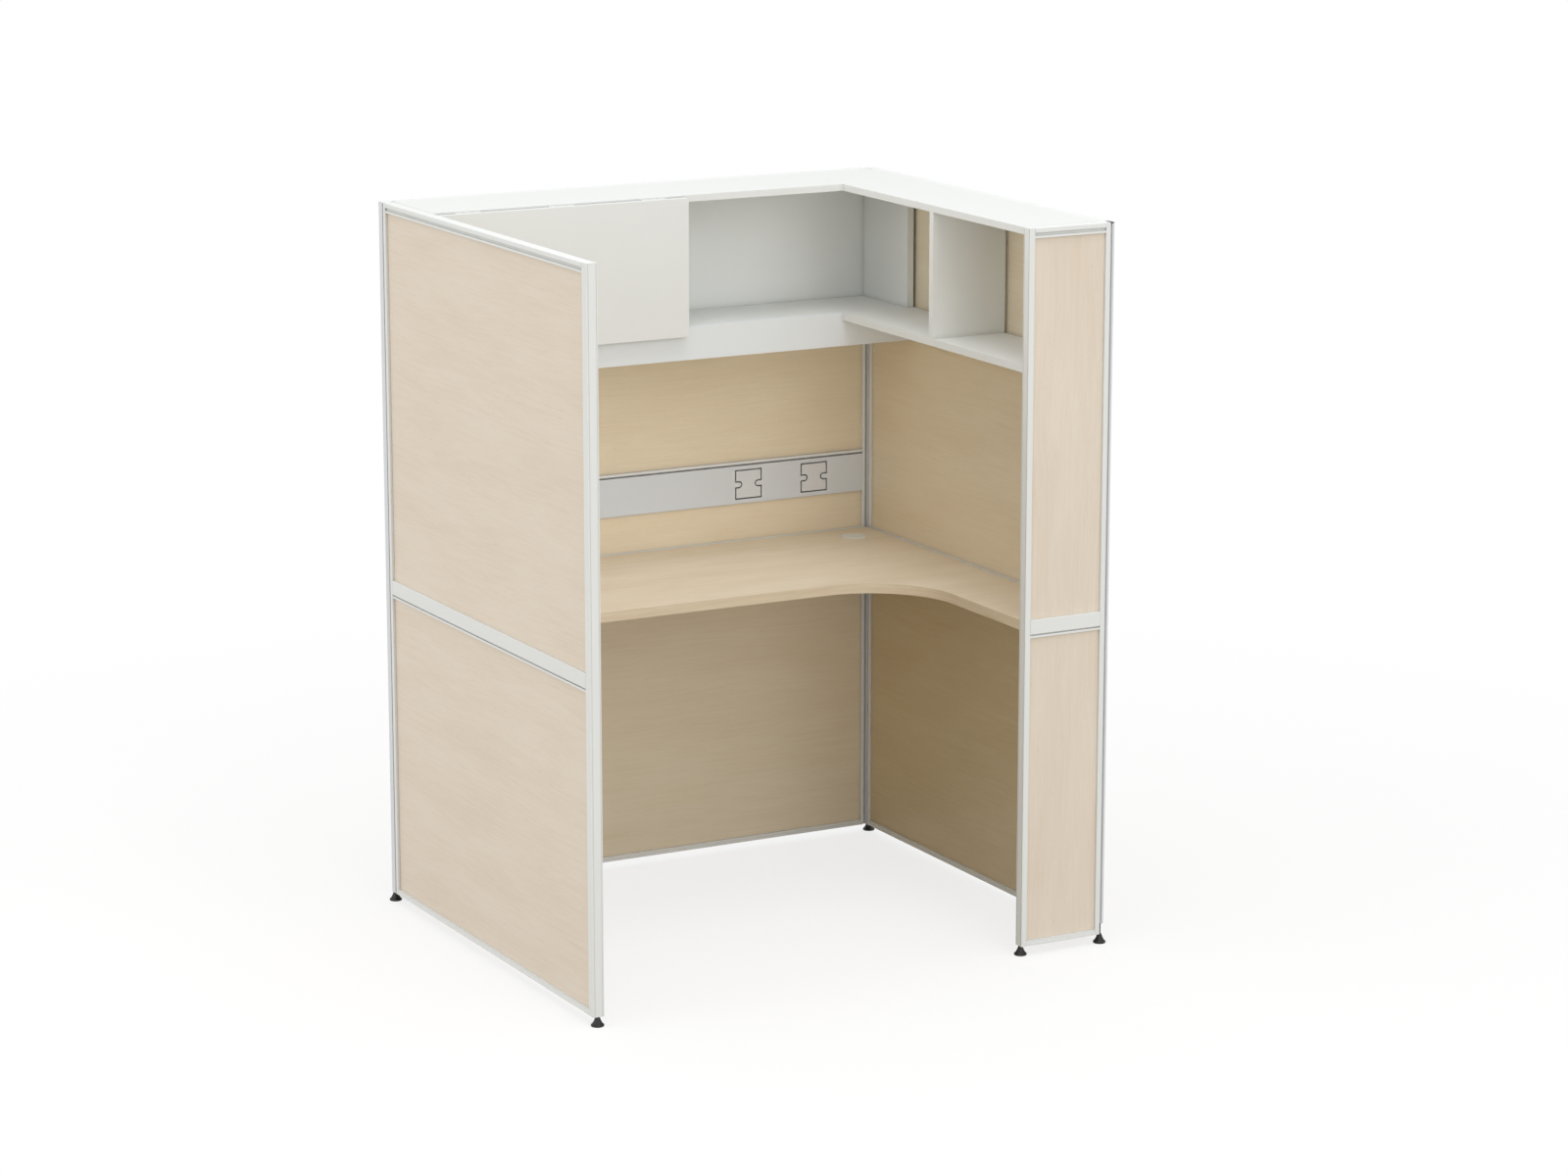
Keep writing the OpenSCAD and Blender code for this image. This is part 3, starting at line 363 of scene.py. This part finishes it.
def coated(name, color, mottle=0.03, peel=700.0, gloss=0.38, spread=0.08, relief=0.00002,
           rubbed=None, wear=0.25, dust_and_shade=0.12, width=0.0008, reach=0.012, specular=0.5):
    """A sprayed or moulded finish; gloss is its roughness, and peel and relief its grain."""
    material, tree, shader, vector = begin(name)
    skin = tree.add("ShaderNodeGroup", {
        "Vector": vector, "Color": color, "Mottle": mottle, "Peel": peel,
        "Gloss": gloss, "Spread": spread,
    }, node_tree=COAT)
    dress(tree, shader, vector, skin, relief, rubbed or color, wear, dust_and_shade, width, reach)
    shader.inputs["Specular IOR Level"].default_value = specular
    return material


# Lines along and across drawn metal, blotches on it, its lightest tone and how far both darken it
BRUSH_SCALE = (30.0, 2600.0)
BLOTCH_SCALE = 40.0
METAL_LIGHTEST = 1.04
METAL_DARKENING = 0.09
METAL_RELIEF = 0.00001
# How much smoother and rougher than its gloss the metal is from line to line
METAL_SMOOTHER = 0.06
METAL_ROUGHER = 0.08


def brushed(name, color, turn, gloss):
    """Drawn or rolled metal with fine lines along its first axis; gloss is its roughness."""
    material, tree, shader, vector = begin(name, turn)
    lines = tree.noise(tree.stretch(vector, *BRUSH_SCALE), 1.0, 2.0, 0.6)
    blotch = tree.noise(vector, BLOTCH_SCALE, 3.0, 0.6)
    tone = tree.math("SUBTRACT", METAL_LIGHTEST, tree.math(
        "MULTIPLY", tree.math("ADD", lines, blotch), METAL_DARKENING))
    grey = tree.add("ShaderNodeCombineColor", {"Red": tone, "Green": tone, "Blue": tone}).outputs[0]
    tree.link(tree.blend(1.0, color, grey, "MULTIPLY"), shader.inputs["Base Color"])
    tree.link(tree.remap(lines, 0.2, 0.8, gloss - METAL_SMOOTHER, gloss + METAL_ROUGHER),
              shader.inputs["Roughness"])
    bump = tree.add("ShaderNodeBump", {"Height": lines, "Distance": METAL_RELIEF})
    tree.link(bump.outputs["Normal"], shader.inputs["Normal"])
    shader.inputs["Metallic"].default_value = 1.0
    return material


PANEL_PALE = srgb(242, 231, 216)
PANEL_TAN = srgb(224, 204, 179)
# The inner faces' tones paint the warm bounce light inside the desk, and the deep ones the shade under
# the worktop's return
INNER_PALE_PAINTED_BOUNCE = srgb(244, 232, 209)
INNER_TAN_PAINTED_BOUNCE = srgb(226, 206, 173)
PAINTED_SHADE_PALE = srgb(230, 214, 180)
PAINTED_SHADE_TAN = srgb(210, 184, 142)
DESK_PALE = srgb(247, 236, 216)
DESK_TAN = srgb(224, 203, 172)

# The frames' share of the darkening paints shade into the reveals beside the panels
FRAME_WHITE = coated("frame_white", srgb(243, 245, 243), mottle=0.02, gloss=0.46, dust_and_shade=0.5,
                     specular=0.25)
POST_WHITE = coated("post_white", srgb(230, 233, 236), mottle=0.03, gloss=0.36, dust_and_shade=0.4)
MELAMINE = dict(mottle=0.02, peel=1400.0, gloss=0.62, relief=0.00003, wear=0.2, dust_and_shade=0.3,
                specular=0.2)
BOARD_WHITE = coated("board_white", srgb(240, 242, 240), **MELAMINE)
VALANCE_WHITE = coated("valance_white", srgb(240, 245, 248), **MELAMINE)
# The duct, its cover and the blanks take a large share of the darkening, which paints shade into their
# slots and the gaps round the cover
DUCT_SHELL = coated("duct_shell", srgb(236, 240, 243), mottle=0.03, gloss=0.4, dust_and_shade=1.0,
                    reach=0.02)
DUCT_GREY = coated("duct_grey", srgb(226, 232, 240), mottle=0.03, gloss=0.42, dust_and_shade=0.8,
                   reach=0.006)
BLANK_GREY = coated("blank_grey", srgb(228, 232, 237), mottle=0.02, peel=1800.0, gloss=0.5,
                    dust_and_shade=0.8, reach=0.006)
OUTLET_GREY = coated("outlet_grey", srgb(240, 240, 236), mottle=0.03, peel=1800.0, gloss=0.46,
                     dust_and_shade=0.3)
BRACKET_GREY = coated("bracket_grey", srgb(222, 223, 222), mottle=0.04, gloss=0.45, wear=0.4)
HINGE_WHITE = coated("hinge_white", srgb(238, 239, 236), mottle=0.04, gloss=0.42, wear=0.5,
                     rubbed=srgb(196, 197, 198), dust_and_shade=0.4)
SCREW_ZINC = brushed("screw_zinc", srgb(200, 202, 204), GRAIN_ALONG_X, 0.34)
BLACK_PLASTIC = coated("black_plastic", srgb(17, 17, 18), mottle=0.25, peel=1600.0, gloss=0.5,
                       rubbed=srgb(60, 60, 62), wear=0.5, dust_and_shade=0.25)
# The strip bends round the curve: its grain is stretched along both ways of the plan
EDGE_STRIP = maple("edge_strip", GRAIN_ALONG_X, (0.3, 0.1, 0.2),
                   srgb(235, 219, 193), srgb(212, 190, 156),
                   clouds=0.1, streaks=0.45, fibres=0.3, flecks=0.15,
                   sway=0.004, scale=(1.0, 0.045, 1.0))
DOWEL_BEECH = maple("dowel_beech", GRAIN_ALONG_Z, (0.0, 0.0, 0.0),
                    srgb(232, 205, 165), srgb(205, 172, 128),
                    clouds=0.3, streaks=0.6, fibres=0.5, flecks=0.6)


def finish_node(name, material):
    """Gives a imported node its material, in every slot it has."""
    slots = NODES[name].data.materials
    if len(slots) == 0:
        slots.append(material)
    for index in range(len(slots)):
        slots[index] = material


# The run of each wall's grain, and the direction that its inner face looks in
WALLS = {
    "left": (GRAIN_ALONG_Y, (1.0, 0.0, 0.0)),
    "back": (GRAIN_ALONG_X, (0.0, -1.0, 0.0)),
    "right": (GRAIN_ALONG_Y, (-1.0, 0.0, 0.0)),
    "wing": (GRAIN_ALONG_Z, (0.0, 1.0, 0.0)),
}
# How far apart in the veneer's pattern one panel is cut from the next
VENEER_STEP = (1.7, 0.9, 0.6)


def veneer_panel(node_name, count):
    """A panel's own veneer; its inner face has warmer tones of painted bounce light, and under the
    worktop's return a deeper tone of painted shade.
    """
    grain, inwards = WALLS[node_name.split("_")[0]]
    inner = (PAINTED_SHADE_PALE, PAINTED_SHADE_TAN) if node_name == "right_lower_panel" else (INNER_PALE_PAINTED_BOUNCE, INNER_TAN_PAINTED_BOUNCE)
    veneer = maple("veneer_" + node_name, grain, tuple(step * count for step in VENEER_STEP),
                   PANEL_PALE, PANEL_TAN, clouds=0.22, streaks=0.22, fibres=0.2, flecks=0.5,
                   inside=(inwards,) + inner)
    finish_node(node_name, veneer)


panel_count = 0
for node_name in sorted(NODES):
    if node_name.endswith("_panel"):
        panel_count += 1
        veneer_panel(node_name, panel_count)
    elif node_name.endswith(("_stile", "_rail", "_end_post")):
        finish_node(node_name, FRAME_WHITE)
    elif node_name.startswith("corner_post"):
        finish_node(node_name, POST_WHITE)
    elif node_name.startswith("foot_"):
        finish_node(node_name, BLACK_PLASTIC)

DESK_LAMINATE = maple("desk_laminate", GRAIN_ALONG_X, (4.2, 0.35, 0.0), DESK_PALE, DESK_TAN,
                      clouds=0.3, streaks=0.22, fibres=0.2, flecks=0.4)
for node_name, material in {
    "post_caps": FRAME_WHITE, "post_plugs": BLACK_PLASTIC,
    "worktop": DESK_LAMINATE, "worktop_edging": EDGE_STRIP, "worktop_brackets": BRACKET_GREY,
    "outlet_sleeve": OUTLET_GREY, "outlet_lid": OUTLET_GREY,
    "power_duct": DUCT_SHELL, "duct_cover": DUCT_GREY, "socket_blanks": BLANK_GREY,
    "hutch_top": BOARD_WHITE, "hutch_shelf": BOARD_WHITE, "hutch_valance": VALANCE_WHITE,
    "bay_uprights": BOARD_WHITE, "side_upright": BOARD_WHITE, "hutch_back_board": BOARD_WHITE,
    "flap_door": BOARD_WHITE, "hutch_dowels": DOWEL_BEECH,
    "hinge_frame_leaves": HINGE_WHITE, "hinge_flap_leaves": HINGE_WHITE,
    "hinge_pins": SCREW_ZINC, "flap_screws": SCREW_ZINC, "frame_screws": SCREW_ZINC,
}.items():
    finish_node(node_name, material)


# Turned pieces
WELD_WITHIN = 0.001 * MM
THREAD_PITCH = 0.8 * MM
THREAD_DEPTH = 0.45 * MM
# Shares of the pitch that each flank of a tooth and its crest take up
THREAD_FLANK = 0.4
THREAD_CREST = 0.2
# Corners to one turn of the thread
THREAD_STEPS = 16


def select_only(*pieces):
    """Selects these objects and no others, the first of them as the active one."""
    bpy.ops.object.select_all(action="DESELECT")
    for piece in pieces:
        piece.select_set(True)
    bpy.context.view_layer.objects.active = pieces[0]


def open_mesh():
    """Enters edit mode with the whole mesh of the active object selected."""
    bpy.ops.object.mode_set(mode="EDIT")
    bpy.ops.mesh.select_all(action="SELECT")


def close_mesh():
    """Welds the mesh that is being edited, turns its faces outwards and leaves edit mode."""
    bpy.ops.mesh.select_all(action="SELECT")
    bpy.ops.mesh.remove_doubles(threshold=WELD_WITHIN)
    bpy.ops.mesh.normals_make_consistent(inside=False)
    bpy.ops.object.mode_set(mode="OBJECT")


def settle(piece):
    """Leaves a finished piece at the origin, with its place in its mesh."""
    select_only(piece)
    bpy.ops.object.transform_apply(location=True, rotation=True, scale=True)


def turned(name, place, rings, sides):
    """A turned piece: a disc drawn up ring by ring; each ring is a radius and a height."""
    radius, height = rings[0]
    bpy.ops.mesh.primitive_circle_add(vertices=sides, radius=radius, fill_type="NGON",
                                      location=(place[0], place[1], height))
    piece = bpy.context.object
    piece.name = name
    open_mesh()
    for next_radius, next_height in rings[1:]:
        bpy.ops.mesh.extrude_region_move(
            TRANSFORM_OT_translate={"value": (0.0, 0.0, next_height - height)})
        bpy.ops.transform.resize(value=(next_radius / radius, next_radius / radius, 1.0),
                                 center_override=(place[0], place[1], next_height))
        radius, height = next_radius, next_height
    close_mesh()
    settle(piece)
    return piece


def threaded_rod(name, place, low, high, radius):
    """A rod with a screw thread, wound round its axis from a single tooth."""
    bpy.ops.mesh.primitive_plane_add(size=1.0 * MM, location=(place[0], place[1], low))
    piece = bpy.context.object
    piece.name = name
    open_mesh()
    bpy.ops.mesh.merge(type="CENTER")
    bpy.ops.transform.translate(value=(radius - THREAD_DEPTH, 0.0, 0.0))
    for out, share in ((THREAD_DEPTH, THREAD_FLANK), (0.0, THREAD_CREST),
                       (-THREAD_DEPTH, THREAD_FLANK)):
        bpy.ops.mesh.extrude_vertices_move(
            TRANSFORM_OT_translate={"value": (out, 0.0, share * THREAD_PITCH)})
    bpy.ops.object.mode_set(mode="OBJECT")
    bpy.ops.object.modifier_add(type="SCREW")
    winding = piece.modifiers[-1]
    winding.axis = "Z"
    winding.angle = 2 * math.pi
    winding.screw_offset = THREAD_PITCH
    winding.iterations = int((high - low) / THREAD_PITCH) - 1
    winding.steps = THREAD_STEPS
    winding.render_steps = THREAD_STEPS
    winding.use_merge_vertices = False
    bpy.ops.object.modifier_apply(modifier=winding.name)
    open_mesh()
    bpy.ops.mesh.remove_doubles(threshold=WELD_WITHIN)
    bpy.ops.mesh.select_all(action="SELECT")
    bpy.ops.mesh.fill_holes(sides=0)
    close_mesh()
    settle(piece)
    return piece


def join(name, parts):
    """Makes one piece of several."""
    select_only(*parts)
    bpy.ops.object.join()
    piece = bpy.context.object
    piece.name = name
    piece.data.name = name
    return piece


def soften(piece, angle):
    """Smooth shading where two faces meet at less than an angle in degrees."""
    select_only(piece)
    bpy.ops.object.shade_smooth_by_angle(angle=math.radians(angle))


def stand_for(piece, node, body, material):
    """Dresses a finished piece and puts it in the place of its CAD node."""
    piece.data.materials.clear()
    piece.data.materials.append(material)
    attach(piece, body)
    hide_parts(node)


# Levelling feet: a flared base with a hollow sole, a collar and a threaded stem
STEM_RADIUS = 2.5 * MM
STEM_START = 19.6 * MM
FOOT_SIDES = 48
FOOT_SMOOTH_ANGLE = 32
# Radius and height of each ring of the base, in mm, from inside the sole up to the collar
FOOT_RINGS = [
    (10.0, 0.8), (11.0, 0.8), (11.6, 0.0), (13.2, 0.0), (13.8, 0.4), (14.0, 1.0), (14.0, 3.4),
    (13.85, 3.75), (13.4, 4.0), (12.6, 4.4), (10.6, 7.0), (8.9, 9.8), (7.4, 12.8), (6.2, 15.8),
    (5.4, 18.2), (5.2, 18.7), (4.5, 18.8), (4.5, 20.5), (4.3, 20.7), (2.2, 20.7),
]
for node_name, body in {
    "foot_front_left": "front_left_foot", "foot_back_left": "back_left_foot",
    "foot_back_right": "back_right_foot", "foot_wing": "wing_foot",
    "foot_front_right": "front_right_foot",
}.items():
    low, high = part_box(node_name)
    middle = ((low[0] + high[0]) / 2, (low[1] + high[1]) / 2)
    rings = [(radius * MM, height * MM) for radius, height in FOOT_RINGS]
    base = turned("base", middle, rings, FOOT_SIDES)
    stem = threaded_rod("stem", middle, STEM_START, high[2], STEM_RADIUS)
    foot = join("threaded_" + node_name, [base, stem])
    soften(foot, FOOT_SMOOTH_ANGLE)
    stand_for(foot, node_name, body, BLACK_PLASTIC)


# Screws with crossed recesses
SCREW_SIDES = 24
SCREW_SMOOTH_ANGLE = 30
# Both kinds of screw. A ring of the head is a share of its radius and a depth below the crown.
# The shank, the recess's span and the recess's width are shares of the head's radius too.
COUNTERSUNK = {
    "head": [(1.0, 0.0)], "head_height": 1.2 * MM, "shank": 0.52, "tip_length": 1.0 * MM,
    "recess_depth": 0.9 * MM, "recess_span": 1.05, "recess_width": 0.28,
}
PAN_HEADED = {
    "head": [(0.55, 0.0), (0.8, 0.25 * MM), (0.94, 0.8 * MM), (1.0, 1.6 * MM), (1.0, 2.5 * MM)],
    "head_height": 2.5 * MM, "shank": 0.49, "tip_length": 0.9 * MM,
    "recess_depth": 1.5 * MM, "recess_span": 1.0, "recess_width": 0.25,
}
# Heads with this radius or more are pan heads, and the smaller ones are countersunk
PAN_HEAD_FROM = 3.0 * MM
# The tip's end and the bottom of the recess, as shares of the shank and of the recess's mouth
TIP_SHARE = 0.3
RECESS_TAPER = 0.5


def cut_recess(screw, depth, span, width):
    """Sinks a tapered cross into the head of a screw whose crown is at the origin, facing down."""
    for long_side, short_side in ((span, width), (width, span)):
        bpy.ops.mesh.primitive_cube_add(size=1.0, location=(0.0, 0.0, 0.0),
                                        scale=(long_side, short_side, 2 * depth))
        bit = bpy.context.object
        bpy.ops.object.mode_set(mode="EDIT")
        bpy.ops.mesh.select_all(action="DESELECT")
        bpy.ops.object.mode_set(mode="OBJECT")
        # The face furthest into the screw narrows to the bottom of the recess
        for face in bit.data.polygons:
            face.select = face.normal.z > 0.9
        bpy.ops.object.mode_set(mode="EDIT")
        bpy.ops.mesh.select_mode(type="FACE")
        bpy.ops.transform.resize(value=(RECESS_TAPER, RECESS_TAPER, 1.0),
                                 center_override=(0.0, 0.0, depth))
        bpy.ops.object.mode_set(mode="OBJECT")
        select_only(screw)
        bpy.ops.object.modifier_add(type="BOOLEAN")
        cut = screw.modifiers[-1]
        cut.operation = "DIFFERENCE"
        cut.solver = "EXACT"
        cut.object = bit
        bpy.ops.object.modifier_apply(modifier=cut.name)
        bpy.data.objects.remove(bit)


def loose_parts(node_name):
    """Copies of a CAD node's separate solids, to be measured and removed again."""
    copy = NODES[node_name].copy()
    copy.data = NODES[node_name].data.copy()
    copy.parent = None
    bpy.context.scene.collection.objects.link(copy)
    select_only(copy)
    open_mesh()
    bpy.ops.mesh.remove_doubles(threshold=WELD_WITHIN)
    bpy.ops.mesh.separate(type="LOOSE")
    bpy.ops.object.mode_set(mode="OBJECT")
    return list(bpy.context.selected_objects)


# Points this near to the end of a screw belong to that end
END_SLICE = 0.1 * MM


def width_at(points, along, middle, end):
    """How far the points at one end of a part reach out from its axis."""
    offsets = [point - middle for point in points if abs(point[along] - end) < END_SLICE]
    for offset in offsets:
        offset[along] = 0.0
    return max(offset.length for offset in offsets)


def measure_screw(part):
    """The middle of a plain screw's crown, the way its shank points, head radius and length."""
    points = [vertex.co.copy() for vertex in part.data.vertices]
    low = Vector([min(point[axis] for point in points) for axis in range(3)])
    high = Vector([max(point[axis] for point in points) for axis in range(3)])
    span = high - low
    middle = (low + high) / 2
    along = max(range(3), key=lambda axis: span[axis])
    low_width = width_at(points, along, middle, low[along])
    crown_is_low = low_width > width_at(points, along, middle, high[along])
    crown = middle.copy()
    crown[along] = low[along] if crown_is_low else high[along]
    shank = Vector((0.0, 0.0, 0.0))
    shank[along] = 1.0 if crown_is_low else -1.0
    radius = max(span[axis] for axis in range(3) if axis != along) / 2
    return crown, shank, round(radius, 4), round(span[along], 4)


def find_screws(node_name):
    """The measures of each screw of a CAD node, in the order of their places."""
    parts = loose_parts(node_name)
    found = [measure_screw(part) for part in parts]
    for part in parts:
        bpy.data.objects.remove(part)
    return sorted(found, key=lambda screw: tuple(screw[0]))


def model_screw(radius, length):
    """A screw with its crown at the origin and its shank upwards, as wide and long as asked."""
    kind = COUNTERSUNK if radius < PAN_HEAD_FROM else PAN_HEADED
    shank = kind["shank"] * radius
    rings = [(share * radius, depth) for share, depth in kind["head"]]
    rings += [(shank, kind["head_height"]), (shank, length - kind["tip_length"]),
              (TIP_SHARE * shank, length)]
    screw = turned("screw", (0.0, 0.0), rings, SCREW_SIDES)
    cut_recess(screw, kind["recess_depth"], kind["recess_span"] * radius,
               kind["recess_width"] * radius)
    return screw


def drive(name, node_name):
    """Puts a finished screw in the place of each plain one of a node, all joined to one piece."""
    patterns = {}
    copies = []
    for crown, shank, radius, length in find_screws(node_name):
        if (radius, length) not in patterns:
            patterns[radius, length] = model_screw(radius, length)
        screw = patterns[radius, length].copy()
        screw.data = screw.data.copy()
        bpy.context.scene.collection.objects.link(screw)
        screw.rotation_euler = Vector((0.0, 0.0, 1.0)).rotation_difference(shank).to_euler()
        screw.location = crown
        settle(screw)
        copies.append(screw)
    for pattern in patterns.values():
        bpy.data.objects.remove(pattern)
    piece = join(name, copies)
    soften(piece, SCREW_SMOOTH_ANGLE)
    stand_for(piece, node_name, body_of(NODES[node_name])[0], SCREW_ZINC)


drive("crossed_frame_screws", "frame_screws")
drive("crossed_flap_screws", "flap_screws")


# Camera
CAMERA_PLACE = (-4.4646, -8.4797, 2.9270)
CAMERA_YAW = 28.331
CAMERA_PITCH = 12.714
CAMERA_LENS = 102.30
CAMERA_SENSOR = 36.0
camera_data = bpy.data.cameras.new("camera")
camera_data.lens = CAMERA_LENS
camera_data.sensor_width = CAMERA_SENSOR
camera_data.sensor_fit = "HORIZONTAL"
camera_data.clip_start = 0.1
camera_data.clip_end = 100.0
camera = bpy.data.objects.new("camera", camera_data)
camera.location = CAMERA_PLACE
camera.rotation_euler = (math.radians(90 - CAMERA_PITCH), 0.0, math.radians(-CAMERA_YAW))
bpy.context.scene.collection.objects.link(camera)
bpy.context.scene.camera = camera


# Light and floor
WORLD_LIGHT = 0.72
FLOOR_SHADE = srgb(164, 158, 148)
# The seen floor is white, with this share of its real light, which fades out between two distances
FLOOR_SHADOW = 0.25
SHADOW_WHOLE_TO = 1.4
SHADOW_GONE_AT = 3.2
FLOOR_SIZE = 60.0
# Place, the point it faces, side of the square and watts of each lamp
SOFTBOXES = {
    "key_softbox": ((0.7, -6.2, 4.2), (0.0, 0.2, 0.8), 3.0, 46.0),
    "low_softbox": ((-0.3, -6.0, 1.2), (0.0, 0.4, 0.5), 2.5, 56.0),
    "overhead_softbox": ((-0.2, -0.9, 5.5), (0.0, 0.0, 0.75), 2.5, 52.0),
    "side_softbox": ((-6.0, 0.3, 2.4), (-0.6, 0.0, 0.8), 3.0, 81.0),
}


def seen_rays(tree):
    """1 on the rays that show a surface to the eye: from the camera, or by gloss or through glass."""
    rays = tree.add("ShaderNodeLightPath").outputs
    return tree.math("MAXIMUM", tree.math("MAXIMUM", rays["Is Camera Ray"], rays["Is Glossy Ray"]),
                     rays["Is Transmission Ray"])


def make_world():
    """Even light from all round, and plain white where it is seen."""
    world = bpy.data.worlds.new("studio")
    bpy.context.scene.world = world
    world.use_nodes = True
    tree = Tree(world.node_tree)
    background = world.node_tree.nodes["Background"]
    background.inputs["Color"].default_value = (1.0, 1.0, 1.0, 1.0)
    tree.link(tree.remap(seen_rays(tree), 0.0, 1.0, WORLD_LIGHT, 1.0), background.inputs["Strength"])


def make_floor():
    """A floor that throws light back as a pale one does, and is seen white with the shadow."""
    bpy.ops.mesh.primitive_plane_add(size=FLOOR_SIZE, location=(0.0, 0.0, 0.0))
    floor = bpy.context.object
    floor.name = "floor"
    material = bpy.data.materials.new("floor")
    material.use_nodes = True
    tree = Tree(material.node_tree)
    tree.tree.nodes.remove(tree.tree.nodes["Principled BSDF"])
    output = tree.tree.nodes["Material Output"]
    seen = seen_rays(tree)
    plain = tree.add("ShaderNodeBsdfDiffuse", {"Color": FLOOR_SHADE}).outputs[0]
    white = tree.add("ShaderNodeBsdfDiffuse", {"Color": (1.0, 1.0, 1.0, 1.0)}).outputs[0]
    glow = tree.add("ShaderNodeEmission", {"Strength": 1.0}).outputs[0]
    away = tree.add("ShaderNodeVectorMath", {
        0: tree.add("ShaderNodeTexCoord").outputs["Object"],
    }, operation="LENGTH").outputs["Value"]
    share = tree.remap(away, SHADOW_WHOLE_TO, SHADOW_GONE_AT, FLOOR_SHADOW, 0.0)
    shown = tree.add("ShaderNodeMixShader", {0: share, 1: glow, 2: white}).outputs[0]
    surface = tree.add("ShaderNodeMixShader", {0: seen, 1: plain, 2: shown}).outputs[0]
    tree.link(surface, output.inputs["Surface"])
    floor.data.materials.append(material)


def make_lamp(name, place, aim, size, power):
    """A square softbox that faces a point."""
    data = bpy.data.lights.new(name, "AREA")
    data.shape = "SQUARE"
    data.size = size
    data.energy = power
    lamp = bpy.data.objects.new(name, data)
    lamp.location = place
    lamp.rotation_euler = (Vector(aim) - Vector(place)).to_track_quat("-Z", "Y").to_euler()
    bpy.context.scene.collection.objects.link(lamp)


make_world()
make_floor()
for lamp_name, settings in SOFTBOXES.items():
    make_lamp(lamp_name, *settings)
bpy.context.scene.view_settings.view_transform = "Standard"
